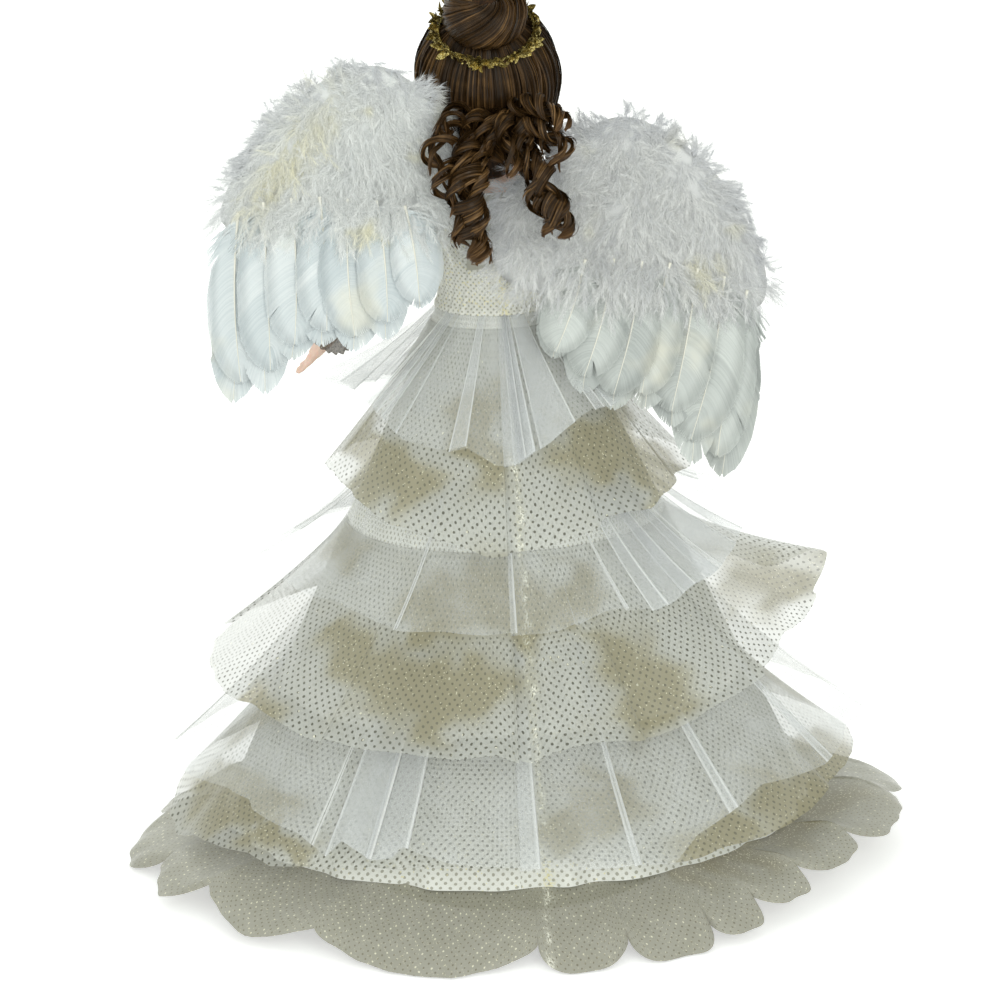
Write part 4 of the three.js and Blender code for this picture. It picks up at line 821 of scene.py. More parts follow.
# Long soft feathers that come out of the down and lie over the others
TOP_FEATHERS = (
    ((0.92, 0.12), (0.95, -0.97), 0.24, 0.1), ((0.82, 0.18), (0.83, -0.9), 0.28, 0.12),
    ((0.71, 0.2), (0.73, -0.74), 0.27, 0.14), ((0.6, 0.2), (0.6, -0.66), 0.27, 0.16),
    ((0.49, 0.18), (0.49, -0.7), 0.26, 0.16), ((0.38, 0.16), (0.36, -0.62), 0.25, 0.16),
    ((0.27, 0.12), (0.23, -0.5), 0.22, 0.16),
)
TOP_FEATHER_BACK = 41 * MM
# Where the down thins out: shares of the rise
DOWN_ENDS = {"left": (-0.14, 0.26), "right": (-0.36, 0.14)}
# Creamy places in the down: middle in shares of the span and the rise, half length and half width, and turn
CREAMY = {"left": (0.71, 0.44, 44 * MM, 7 * MM, -0.88), "right": (0.73, 0.22, 12 * MM, 8 * MM, 0.3)}
# Loose filaments over the top of each wing: their tips
WISPS = {
    "left": ((0.89, 1.12), (0.635, 1.22), (0.54, 1.2), (0.455, 1.25), (0.334, 1.26), (0.276, 1.1),
             (1.02, 0.8)),
    "right": ((0.1, 1.08), (0.2, 1.13), (0.32, 1.2), (0.78, 0.95), (1.05, 0.6)),
}
BACK_DOWN = {
    "left": ((0.05, -0.02), (0.2, -0.12), (0.45, -0.12), (0.7, -0.08), (0.9, -0.04), (1, 0), (1, 0.14),
             (0.93, 0.35), (0.82, 0.6), (0.66, 0.82), (0.5, 0.95), (0.36, 0.99), (0.25, 0.92), (0.13, 0.74),
             (0.05, 0.48), (0.02, 0.2)),
    "right": ((-0.04, -0.14), (0.12, -0.2), (0.3, -0.2), (0.55, -0.14), (0.8, -0.1), (0.98, -0.04),
              (1.02, 0.12), (0.96, 0.35), (0.84, 0.6), (0.68, 0.83), (0.5, 0.98), (0.36, 1.04), (0.25, 1.01),
              (0.14, 0.88), (0.04, 0.68), (-0.1, 0.42), (-0.13, 0.1)),
}
FRONT_DOWN = ((0.33, -0.08), (0.6, -0.08), (0.85, -0.02), (0.94, 0.08), (0.9, 0.32), (0.79, 0.56),
              (0.64, 0.77), (0.5, 0.88), (0.4, 0.84), (0.34, 0.6), (0.31, 0.25))


def on_doll(points, side):
    """Places laid out on a wing, where they are on the doll."""
    sign, height, droop = WING_SIDES[side]
    x = points[..., 0] * math.cos(droop) + points[..., 2] * math.sin(droop)
    z = points[..., 2] * math.cos(droop) - points[..., 0] * math.sin(droop)
    return np.stack([sign * (x + STUD_OUT), points[..., 1], z + height], -1)


VANE_SHARES = np.array([0, 0.1, 0.2, 0.32, 0.5, 0.68, 0.8, 0.9, 0.96, 1])
VANE_WIDTHS = np.array([0.1, 0.16, 0.5, 0.84, 1, 0.99, 0.9, 0.68, 0.42, 0.08])


def feather_parts(rng, shape, lift, shingle, barbs, downy_end=0.22, soft=0.15):
    """One vaned feather as strips for its barbs and a tube for its quill, laid out on the wing. Up to
    downy_end of its length its barbs are loose, and their ends are fainter where soft is higher."""
    *ends, width, bend = shape
    start, end = (np.array([across * WING_SPAN, 0, up * WING_RISE]) for across, up in ends)
    length = np.linalg.norm(end - start)
    along = (end - start) / length
    across = unit(np.cross(along, BACKWARDS))
    edge = across * math.cos(shingle) + BACKWARDS * math.sin(shingle)
    bow = rng.uniform(-0.035, 0.035) * length
    half_width = width * WING_SPAN / 2

    def spine(share):
        reach = np.asarray(share)[..., None] * length
        lean = lift + bend * reach * (LEAN_SHARE + CURL_SHARE * reach / WING_RISE)
        return start + along * reach + BACKWARDS * lean + across * bow * np.sin(math.pi * reach / length)

    base = np.tile(np.linspace(0.05, 0.965, barbs), 2)
    count = len(base)
    side = np.repeat([-1, 0.92], barbs)
    clump = np.cumsum(rng.random(count) < 0.035)
    clumps = clump.max() + 1
    clump_shift = rng.normal(0, 0.006, clumps)[clump]
    clump_reach = 1 + rng.normal(0, 0.025, clumps)[clump]
    tip_share = np.clip(base + 0.05 + 0.24 * (1 - base) * base + 0.06 + clump_shift
                        + rng.normal(0, 0.0006, count), 0, 1)
    reach = half_width * np.interp(tip_share, VANE_SHARES, VANE_WIDTHS) * clump_reach
    downy = smooth(downy_end, downy_end * 0.4, base)
    reach = reach * (1 + downy * rng.uniform(0.3, 1.3, count))
    t = evenly(7)
    run = base[:, None] + (tip_share - base)[:, None] * t ** 1.7
    distance = (side * reach)[:, None] * t ** 0.92
    cup = -1.5 * MM * (distance / half_width) ** 2
    flutter = downy[:, None] * t * rng.normal(0, 1.6 * MM, (count, 1))
    paths = spine(run) + edge * distance[..., None] + BACKWARDS * (cup + flutter)[..., None]
    half = length * (0.92 / barbs) * 1.05 * (1 - 0.5 * t ** 3) * (1 - 0.55 * downy[:, None])
    sideways = facing(paths, BACKWARDS, rng.normal(0, 0.02, count))
    tint = rng.random(clumps)[clump] * 0.45 + rng.random() * 0.25
    tint = tint + rng.uniform(0, 0.3, count)
    vane = strips(paths, half, sideways, {"tint": tint, "quill": tint * 0, "soft": tint * 0 + soft})
    share = evenly(26)
    line = spine(np.linspace(0, 0.985, 26)) + BACKWARDS * 0.12 * MM
    rings = tube_rings(line, mix(0.72 * MM, 0.13 * MM, share ** 0.7), 6)
    share = np.broadcast_to(share[:, None], (26, 6))
    values = {"tint": share * 0 + 0.5, "quill": share * 0 + 1, "soft": share * 0, "along": share}
    return [vane, (rings, grid_faces(26, 6, True), np.stack([share * 0, share], -1), values)]


def outline_surface(outline, middle, swell, rows=14, around=96):
    """A pad's surface over an outline, as rings of points from its middle to its rim, and its centre."""
    places = np.array([(a * WING_SPAN, b * WING_RISE) for a, b in outline])
    fine = curve_through(np.vstack([places[-2:], places, places[:3]]), 400)
    away = np.linalg.norm(fine - places[0], axis=1)
    first, last = np.argmin(away[:200]), 200 + np.argmin(away[200:])
    loop = curve_through(fine[first:last + 1:4], around + 1)[:-1]
    centre = places.mean(0)
    reach = np.linspace(0.001, 1, rows)[:, None, None]
    flat = centre + (loop - centre)[None] * reach
    across, up = flat[..., 0], flat[..., 1]
    lift = np.sqrt(np.maximum(0, 1 - reach[..., 0] ** 2))
    back = middle(across, up) + swell(across) * lift + 0 * across
    return np.stack([across, back, up], -1), centre


def back_middle(across, up):
    return 32.25 * MM + 6.9 * MM * (1 - smooth(1.4 * MM, 16.8 * MM, up))


def front_middle(across, up):
    return 21.1 * MM


def low_middle(side):
    """The middle of the down's visible bed: flatter where the long feathers lie over it."""
    low, high = DOWN_ENDS[side]

    def middle(across, up):
        return back_middle(across, up) - 6.5 * MM * (1 - smooth(low + 0.1, high + 0.2, up / WING_RISE))

    return middle


def back_swell(across):
    return mix(3.4 * MM, 7 * MM, smooth(26.4 * MM, 46.2 * MM, across))


def down_parts(rng, surface, plumes, barbs, outward, size, ends=None, creamy=None):
    """Fluffy down over a pad's surface: plumes whose soft barbs stand off a bent shaft. It thins out between
    the heights given as ends, and is creamy over an oval."""
    rows, around = surface.shape[:2]
    reach = np.sqrt(rng.random(plumes))
    row = reach * (rows - 1)
    column = rng.random(plumes) * around
    low = np.clip(row.astype(int), 0, rows - 2)
    left = column.astype(int) % around
    u = (row - low)[:, None]
    v = (column - column.astype(int))[:, None]
    right = (left + 1) % around
    a, b = surface[low, left], surface[low, right]
    c, d = surface[low + 1, left], surface[low + 1, right]
    root = (a * (1 - v) + b * v) * (1 - u) + (c * (1 - v) + d * v) * u
    radial = unit(c - a + 1e-9)
    normal = unit(np.cross(b - a + (d - c), c - a))
    if ends:
        share = root[:, 2] / WING_RISE + rng.normal(0, 0.05, plumes)
        keep = rng.random(plumes) < 0.04 + 0.96 * smooth(*ends, share)
        root, radial, normal, reach = root[keep], radial[keep], normal[keep], reach[keep]
        plumes = len(root)
    normal *= np.sign((normal @ BACKWARDS) * outward + 1e-9)[:, None]
    rim = smooth(0.72, 1, reach)[:, None]
    fringe = smooth(0.55, 1, reach)[:, None] * np.clip(-radial[:, 2:], 0, 1) ** 0.5
    x, z = root[:, 0] / (6 * MM), root[:, 2] / (7 * MM)
    swirl = np.stack([np.sin(x + 1.7 * np.sin(z)), 0 * x, np.sin(z - 1.9 * np.sin(0.8 * x))], -1)
    flow = unit(np.array([0.12, 0, -1]) * mix(1, 0.55, rim) + radial * mix(0.35, 0.9, rim) + 0.55 * swirl
                + rng.normal(0, 0.5, (plumes, 3)))
    flow = unit(flow - normal * (flow * normal).sum(1, keepdims=True))
    lift = rng.uniform(0.16, 0.62, (plumes, 1)) * (1 - 0.6 * rim)
    heading = unit(flow + normal * lift)
    length = size * rng.uniform(0.7, 1.35, (plumes, 1)) * (1 - 0.35 * rim) * (1 + 0.9 * fringe)
    steps = 7
    t = evenly(steps)[:, None]
    droop = unit(flow - normal * 0.9 + np.array([0, 0, -0.35]))
    length = length[:, None]
    shaft = root[:, None] + heading[:, None] * length * t + droop[:, None] * length * 0.34 * t ** 2
    along = tangents(shaft)
    side = unit(np.cross(along, normal[:, None]))
    share = np.linspace(0.06, 1, barbs)
    base, ahead, aside, above = (at_steps(values, share * (steps - 1))
                                 for values in (shaft, along, side, np.cross(side, along)))
    shape = (plumes, barbs, 1)
    share = share[:, None]
    spin = rng.uniform(0, TAU, shape)
    spread = rng.uniform(0.55, 1.25, shape) * mix(1, 0.35, share ** 2)
    flat = aside * np.cos(spin) + above * np.sin(spin) * 0.75
    start_way = unit(flat * spread + ahead * 0.75)
    reach_out = size * rng.uniform(0.3, 0.62, shape) * (1 - 0.35 * share)
    curl = unit(ahead + np.array([0, 0, -0.45]) + rng.normal(0, 0.35, (plumes, barbs, 3)))
    q = evenly(3)
    barb = (base[:, :, None] + (start_way * reach_out)[:, :, None] * q[:, None]
            + (curl * reach_out * 0.5)[:, :, None] * (q ** 2)[:, None])
    paths = barb.reshape(-1, 3, 3)
    sideways = facing(paths, np.repeat(normal, barbs, 0)[:, None], rng.uniform(-0.35, 0.35, len(paths)))
    tint = np.repeat(rng.random(plumes), barbs)
    # Painted shade: barbs darker near their shaft, deep in the down, and paler towards their tips
    depth = np.clip(mix(0.15, 1, q) + rng.normal(0, 0.12, (len(paths), 1)), 0, 1)
    values = {"tint": tint, "depth": depth, "rim": np.repeat(rim * (1 - fringe), barbs),
              "thin": np.repeat(fringe, barbs), "cream": tint * 0}
    if creamy:
        middle_x, middle_z, long, wide, lean = creamy
        x, z = root[:, 0] - middle_x * WING_SPAN, root[:, 2] - middle_z * WING_RISE
        ahead = (x * math.cos(lean) + z * math.sin(lean)) / long
        aside = (z * math.cos(lean) - x * math.sin(lean)) / wide
        amount = (1 - smooth(0.3, 1.2, np.hypot(ahead, aside))) * rng.uniform(0.3, 1, plumes)
        values["cream"] = np.repeat(amount, barbs)
    return strips(paths, np.array([0.07, 0.06, 0.02]) * MM, sideways, values)


def wisp_parts(rng, tips):
    """Loose filaments that stand up from the down."""
    tip = np.array([(across * WING_SPAN, 36 * MM, up * WING_RISE) for across, up in tips])
    middle = np.array([0.42 * WING_SPAN, 33 * MM, 0.2 * WING_RISE])
    root = mix(middle, tip, rng.uniform(0.55, 0.68, (len(tips), 1)))
    t = evenly(16)[:, None]
    bow = rng.normal(0, 2.2 * MM, (len(tips), 1, 3))
    paths = root[:, None] + (tip - root)[:, None] * t + bow * np.sin(math.pi * t)
    none = np.zeros(len(tips))
    return strips(paths, 0.085 * MM * (1 - 0.7 * t[:, 0]), facing(paths, BACKWARDS),
                  {"tint": none, "quill": none, "soft": none})


def bed_part(front, back, centre, depth, shrink):
    """The soft bed under the down, closed front to back, and drawn in towards a centre at a depth."""
    middle = np.array([centre[0], depth, centre[1]])
    rings = (np.concatenate([front, back[::-1][1:]]) - middle) * shrink + middle
    rows, around = shape = rings.shape[:2]
    share = np.broadcast_to(evenly(rows)[:, None], shape)
    turn = np.broadcast_to(evenly(around), shape)
    flat = share * 0
    # The bed takes a middling share of the down's painted shade
    values = {"tint": flat + 0.5, "depth": flat + 0.4}
    values |= dict.fromkeys(("rim", "thin", "cream", "along"), flat)
    return rings, grid_faces(rows, around, True), np.stack([turn, share], -1) * 0.1, values


def wing_piece(name, side, parts, material, node):
    points, faces, uvs, values = merged(parts)
    if WING_SIDES[side][0] < 0:
        faces = faces[:, ::-1]
    thing = new_object(name, on_doll(points, side), faces, uvs, values)
    place(thing, f"{material}_{side}", f"wing_{side}", node)


def make_feathers(settings, side, index):
    for i, shape in enumerate(FLIGHT_FEATHERS):
        rng = np.random.default_rng(200 + 20 * index + i)
        parts = feather_parts(rng, shape, FEATHER_BACK, SHINGLE, settings.barbs)
        node = f"feather_{i + 1}_{side}"
        wing_piece(f"long_{node}", side, parts, "feather", node)
    rng = np.random.default_rng(260 + index)
    parts = []
    for shape in COVERTS:
        parts += feather_parts(rng, shape, COVERT_BACK, 0.03, settings.barbs, 0.3, 0.85)
    parts.append(wisp_parts(rng, WISPS[side]))
    wing_piece(f"covert_feathers_{side}", side, parts, "feather", f"coverts_{side}")
    parts = []
    for shape in TOP_FEATHERS:
        parts += feather_parts(rng, shape, TOP_FEATHER_BACK, SHINGLE, settings.barbs, 0.2, 0.5)
    wing_piece(f"top_feathers_{side}", side, parts, "feather", None)


def make_down(settings, side, index):
    """The down on both faces of a wing, over its soft beds."""
    rng = np.random.default_rng(300 + index)
    plumes, size = settings.plumes, settings.plume_length
    outline, low_bed = BACK_DOWN[side], low_middle(side)
    back, centre = outline_surface(outline, back_middle, back_swell)
    bed, _ = outline_surface(outline, low_bed, back_swell)
    under, _ = outline_surface(outline, low_bed, lambda across: -4.6 * MM)
    places = (DOWN_ENDS[side], CREAMY[side])
    parts = [bed_part(under, bed, centre, 32 * MM, 0.97), down_parts(rng, back, plumes, 58, 1, size, *places)]
    wing_piece(f"back_down_{side}", side, parts, "down", f"down_back_{side}")
    parts = [down_parts(rng, back, plumes, 58, 1, size * 0.75, *places)]
    wing_piece(f"loose_down_{side}", side, parts, "down", None)
    outer, centre = outline_surface(FRONT_DOWN, front_middle, lambda across: -4.2 * MM)
    inner, _ = outline_surface(FRONT_DOWN, front_middle, lambda across: 0.8 * MM)
    parts = [bed_part(outer, inner, centre, 21 * MM, 0.93),
             down_parts(rng, outer, plumes // 3, 44, -1, size * 0.85)]
    wing_piece(f"front_down_{side}", side, parts, "down", f"down_front_{side}")


# Hair

WIG_CENTRE = np.array([0, -3, 361]) * MM
WIG_HALF = np.array([30, 28, 32]) * MM
NAPE_CENTRE = np.array([0, 17.5, 337.06]) * MM
NAPE_HALF = np.array([13.5, 9.5, 17]) * MM
WINDOW_CENTRE = np.array([0, -31, 355.3]) * MM
WINDOW_HALF = np.array([19.5, 28, 25]) * MM
HEAD_CENTRE = np.array([0, -4, 361]) * MM
HEAD_HALF = np.array([22.5, 24.5, 28.5]) * MM
BUN_TILT = math.radians(28)
TILT_AXIS = np.array([0, math.sin(BUN_TILT), math.cos(BUN_TILT)])
TILT_SIDE = np.array([0, math.cos(BUN_TILT), -math.sin(BUN_TILT)])
BUN_CENTRE = np.array([0, 14, 393]) * MM

RINGLETS = {
    # turns, fullness, and places from the nape's centre in shares of its half sizes
    "ringlet_back_left": (4, 1, ((0.3, 0.7, 0.1), (0.62, 2.1, 0), (0.75, 3.25, -0.7), (0.75, 3.35, -1.7),
                                   (0.58, 3.25, -2.55))),
    "ringlet_back_right": (3, 0.9, ((-0.4, 0.7, 0.15), (-1, 2.2, 0), (-1.65, 3.5, -0.5), (-1.95, 3.7, -1.2),
                                    (-1.95, 3.65, -1.95))),
    "ringlet_back_middle": (1.75, 0.7, ((-0.1, 0.6, 0.6), (-0.35, 2.1, 0.8), (-0.6, 3.3, 0.4),
                                        (-0.65, 3.45, -0.35))),
    "ringlet_upper_right": (1.75, 0.75, ((-0.65, 0.4, 0.85), (-1.25, 1.9, 1.15), (-1.95, 2.95, 1.05),
                                         (-2.2, 3.25, 0.55))),
    "ringlet_upper_left": (1.5, 0.6, ((0.55, 0.4, 0.75), (1, 1.9, 1.05), (1.4, 3, 0.95), (1.5, 3.2, 0.5))),
}
LOOSE_CURLS = (
    # the cluster that hangs on the doll's left, then the loops and the end curl on its right
    (3, 0.6, ((0.1, 0.7, 0.4), (0.7, 2.4, 0.3), (1.15, 3.4, -0.6), (1.2, 3.5, -1.5), (1.02, 3.4, -2.3))),
    (3.5, 0.55, ((0.1, 0.7, 0.2), (0.3, 2.6, -0.1), (0.4, 3.5, -1), (0.36, 3.6, -1.9), (0.3, 3.4, -2.75))),
    (2.5, 0.5, ((0.2, 0.7, 0.2), (0.9, 2.6, -0.1), (1.5, 3.3, -0.2), (1.62, 3.4, -0.7), (1.3, 3.5, -1.3))),
    (1.5, 0.75, ((0.5, 0.7, 0.6), (1.3, 2.4, 0.6), (1.85, 3.1, 0.2), (1.7, 3.3, -0.4))),
    (2, 0.6, ((-0.4, 0.7, 0.5), (-1.4, 2.4, 0.7), (-2.2, 3.2, 0.4), (-2, 3.4, -0.3))),
    (2.5, 0.6, ((-0.3, 0.7, 0.3), (-0.9, 2.6, 0.3), (-1.25, 3.4, -0.3), (-1.4, 3.5, -1.1),
                (-1.8, 3.6, -1.7))),
    (1.75, 0.8, ((-1.5, 3.2, -0.9), (-1.9, 3.7, -1.3), (-2.25, 3.7, -1.6), (-2.3, 3.5, -1.95))),
)
TEMPLE_RINGLET = (3, 0.55, ((1.06, -0.3, -0.3), (1.3, -0.34, -0.62), (1.29, -0.36, -1.05),
                            (1.2, -0.36, -1.55)))


def tilted_spoke(turn):
    """Directions out from the bun's leaning axis, at angles round it."""
    turn = np.asarray(turn)[..., None]
    return np.cos(turn) * np.array([1, 0, 0]) + np.sin(turn) * TILT_SIDE


def cap_hair(rng, strands):
    """Hair drawn back over the wig from the bun to the nape, and forward to the brow."""
    steps, locks = 22, 64
    azimuth = rng.uniform(0, TAU, strands)
    at_lock = azimuth / TAU * locks
    lock = (at_lock + rng.normal(0, 0.16, strands)).astype(int) % locks
    within = np.abs(at_lock % 1 - 0.5) * 2
    around = tilted_spoke(azimuth)
    backward = np.clip(np.sin(azimuth) * 0.5 + 0.5, 0, 1)[:, None]
    start = unit(TILT_AXIS * 0.84 + around * 0.5)
    equator = unit(around + np.array([0, 0.1, -0.25]) * (1 - backward) + np.array([0, 0, -0.1]))
    end = unit(np.stack([np.cos(azimuth) * 0.34, 0.66 + 0 * azimuth, -0.72 + 0.1 * np.sin(azimuth)], -1))
    t = evenly(steps)[:, None]
    sphere = start[:, None] * (1 - t) ** 2 + equator[:, None] * 2.3 * t * (1 - t) + end[:, None] * t ** 2
    wave = 0.02 * np.sin(9 * t[:, 0] + 6 * rng.random((locks, 1))[lock])
    groove = (1 - within ** 2)[:, None] * 0.055 + rng.uniform(-0.035, 0.012, (strands, 1)) + wave
    points = WIG_CENTRE + WIG_HALF * unit(sphere) * (1 + groove)[..., None]
    inside = (((points - WINDOW_CENTRE) / (WINDOW_HALF * 0.97)) ** 2).sum(-1) < 1
    keep = ~np.maximum.accumulate(inside, axis=1)
    last = np.maximum(keep.sum(1) - 1, 0)
    index = np.minimum(np.arange(steps), last[:, None])
    points = np.take_along_axis(points, index[..., None], 1)
    long_enough = last > 4
    return points[long_enough], lock[long_enough]


# The bun's outline from its foot over its rim into the dimple: shares of a strand, radius and height
BUN_SHARES = (0, 0.15, 0.35, 0.55, 0.75, 0.88, 1)
BUN_RADII = np.array([15.6, 17.4, 17.2, 13.6, 7.4, 3.4, 1.4]) * MM
BUN_HEIGHTS = np.array([-7, -3.4, 3.2, 8.4, 9.6, 7.6, 3.6]) * MM


def bun_hair(rng, strands):
    """Hair coiled into the bun: over its rim and round into the dimple in the middle."""
    locks = 26
    azimuth = rng.uniform(0, TAU, strands)
    at_lock = azimuth / TAU * locks
    lock = at_lock.astype(int) % locks
    within = np.abs(at_lock % 1 - 0.5) * 2
    t = evenly(20)
    groove = (1 - within ** 2)[:, None] * 0.9 * MM + rng.uniform(-0.7, 0.2, (strands, 1)) * MM
    turn = azimuth[:, None] + 2.5 * t ** 1.4 + 0.06 * np.sin(8 * t + lock[:, None])
    radius = np.interp(t, BUN_SHARES, BUN_RADII) + groove * np.clip(1.3 - t, 0.2, 1)
    height = np.interp(t, BUN_SHARES, BUN_HEIGHTS) + groove * smooth(0.2, 0.6, t)
    return BUN_CENTRE + tilted_spoke(turn) * radius[..., None] + TILT_AXIS * height[..., None], lock


def ringlet_hair(rng, shape, centre, half, strands, phase, widen):
    """One lock of a ringlet, winding round its path from a phase."""
    turns, fullness, shares = shape
    steps = int(turns * 22) + 6
    path = curve_through(centre + shares * half, steps)
    along = tangents(path)
    across = unit(np.array([1, 0, 0]) - along * along[:, :1])
    up = np.cross(along, across)
    share = evenly(steps)
    swing = (phase + TAU * turns * share)[:, None]
    coil = widen * fullness * 5.4 * MM * np.clip(share * 4, 0, 1) * (1 - 0.25 * share)
    radial = across * np.cos(swing) + up * np.sin(swing)
    middle = path + radial * coil[:, None]
    thickness = fullness * 3.4 * MM * (1 - 0.35 * share ** 2)
    rho = np.sqrt(rng.random(strands))[:, None]
    alpha = rng.uniform(0, TAU, strands)[:, None]
    lengthways = rho * np.cos(alpha) * thickness * 1.3
    thick = rho * np.sin(alpha) * thickness * 0.5
    gather = np.clip(share * 5, 0.35, 1) * (1 - 0.75 * smooth(0.93, 1, share))
    jitter = 0.25 * MM * np.sin(5 * share * turns + rng.uniform(0, TAU, (strands, 1)))
    paths = (middle + along * (lengthways * gather + jitter)[..., None]
             + radial * ((thick + jitter) * gather)[..., None])
    stray = rng.random(strands) < 0.04
    paths[stray] += radial * (2.2 * MM * rng.random((stray.sum(), 1)) * share)[..., None]
    return paths, ((alpha[:, 0] / TAU) * 7).astype(int), np.broadcast_to(radial, paths.shape)


def curled_hair(rng, shape, centre, half, strands):
    """A full ringlet: three ribbons of hair that wind at their own pace, one of them looser."""
    turns, fullness, shares = shape
    ribbons = []
    for i, (pace, slim, widen) in enumerate(((1, 1, 1), (1.35, 0.7, 1.3), (0.8, 0.8, 0.7))):
        astray = np.linspace(0, 1, len(shares))[:, None] * rng.uniform(-0.16, 0.16, (1, 3))
        loose = (turns * pace, fullness * slim, np.array(shares) + astray)
        phase = 2.1 * i + rng.uniform(0, 1)
        ribbons.append(ringlet_hair(rng, loose, centre, half, strands, phase, widen / slim))
    count = max(paths.shape[1] for paths, _, _ in ribbons)
    even = []
    for i, (paths, lock, outward) in enumerate(ribbons):
        steps = np.linspace(0, paths.shape[1] - 1, count)
        even.append((at_steps(paths, steps), lock + 8 * i, at_steps(outward, steps)))
    paths, lock, outward = (np.concatenate(parts) for parts in zip(*even))
    return paths, lock, unit(outward)


def nape_curls(rng):
    """Places of the short loose curls at the nape, more of them on the doll's right."""
    curls = []
    for across in np.linspace(-2, 0.9, 11):
        rise = rng.uniform(-0.1, 0.7)
        start = (across * 0.35, 0.35, 0.55 + 0.3 * rise)
        middle = (across * 0.75, rng.uniform(1.3, 1.9), 0.5 + rise * 0.5)
        end = (across * rng.uniform(0.9, 1.1), rng.uniform(2.1, 2.8), rise - 0.35)
        curls.append((1.5, rng.uniform(0.6, 0.85), (start, middle, end)))
    return curls


def hair_object(name, rng, hair, half_width, node=None):
    """Strands as an object. Each lock has its own tone, and each strand strays a little from it."""
    paths, lock, outward = hair
    count, steps = paths.shape[:2]
    share = evenly(steps)
    taper = np.clip(share * 12, 0.5, 1) * (1 - 0.75 * smooth(0.82, 1, share))
    half = half_width * taper * rng.uniform(0.7, 1.3, (count, 1))
    sideways = facing(paths, outward, rng.normal(0, 0.35, count))
    locks = rng.random(int(lock.max()) + 1)
    tone = np.clip(0.38 * locks[lock] + 0.62 * rng.random(count), 0, 1)
    place(new_object(name, *strips(paths, half, sideways, {"tone": tone})), "hair", "doll", node)


# Head, of painted bisque

def face_relief(across, up):
    """How far the face stands out, at shares of the head's half sizes."""
    side = np.abs(across)
    nose = 3.4 * bump(across, 0.12) * bump(up + 0.2, 0.13)
    nostrils = 0.9 * bump(side - 0.1, 0.05) * bump(up + 0.27, 0.05)
    bridge = 0.5 * 3.4 * bump(across, 0.085) * bump(up + 0.02, 0.16)
    chin = 2 * bump(across, 0.25) * bump(up + 0.78, 0.16)
    cheeks = 0.9 * bump(side - 0.52, 0.25) * bump(up + 0.3, 0.2)
    sockets = -2.1 * bump(side - 0.38, 0.19) * bump(up - 0.02, 0.12)
    brows = 0.8 * bump(side - 0.36, 0.28) * bump(up - 0.26, 0.1)
    upper_lip = 1.15 * bump(across, 0.17) * bump(up + 0.45, 0.045) * (1 - 0.25 * bump(across, 0.03))
    lower_lip = 1.25 * bump(across, 0.14) * bump(up + 0.555, 0.05)
    under_nose = -0.5 * bump(across, 0.035) * bump(up + 0.37, 0.05)
    mouth = -0.5 * bump(across, 0.2) * bump(up + 0.5, 0.018)
    return sum((nose, nostrils, bridge, chin, cheeks, sockets, brows, upper_lip, lower_lip,
                under_nose + mouth)) * MM


def on_face(across, up):
    """A place on the face, from shares of the head's half sizes."""
    depth = math.sqrt(1 - across ** 2 - up ** 2)
    return HEAD_CENTRE + HEAD_HALF * np.array([across, -depth, up])


# Height, half width and half depth of the shoulder plate and the neck
PLATE_ROWS = np.array((
    (301, 29, 18), (305, 29, 18), (309, 27, 16.8), (316.5, 20.9, 14.4), (321.6, 12.4, 11), (324, 9.7, 9.6),
    (329, 9.4, 9.4), (341, 9.5, 9.5))) * MM
EYE_SHARE = (0.38, 0.02)
EYE_RADIUS = 4.3 * MM


def make_head():
    """The head, an egg with a face on its front, on its neck and shoulder plate."""
    x, y, z = np.moveaxis(unit_ball(np.linspace(0.02, math.pi - 0.02, 170), 220), -1, 0)
    jaw = 1 - 0.2 * np.clip(-z, 0, 1) ** 2
    forward = np.where(y < 0, face_relief(x, z) * np.clip(-y * 3, 0, 1), 0)
    egg = np.stack([x * HEAD_HALF[0] * jaw, y * HEAD_HALF[1] * jaw - forward, z * HEAD_HALF[2]], -1)
    neck = oval_rows(PLATE_ROWS, np.linspace(0, TAU, 120, endpoint=False), 70)
    skins = ((egg + HEAD_CENTRE)[::-1], neck)
    parts = [(points, grid_faces(*points.shape[:2], True), None, {}) for points in skins]
    place(new_object("bisque_head_and_shoulders", *merged(parts)), "bisque", "doll", "bisque_shoulder_head")


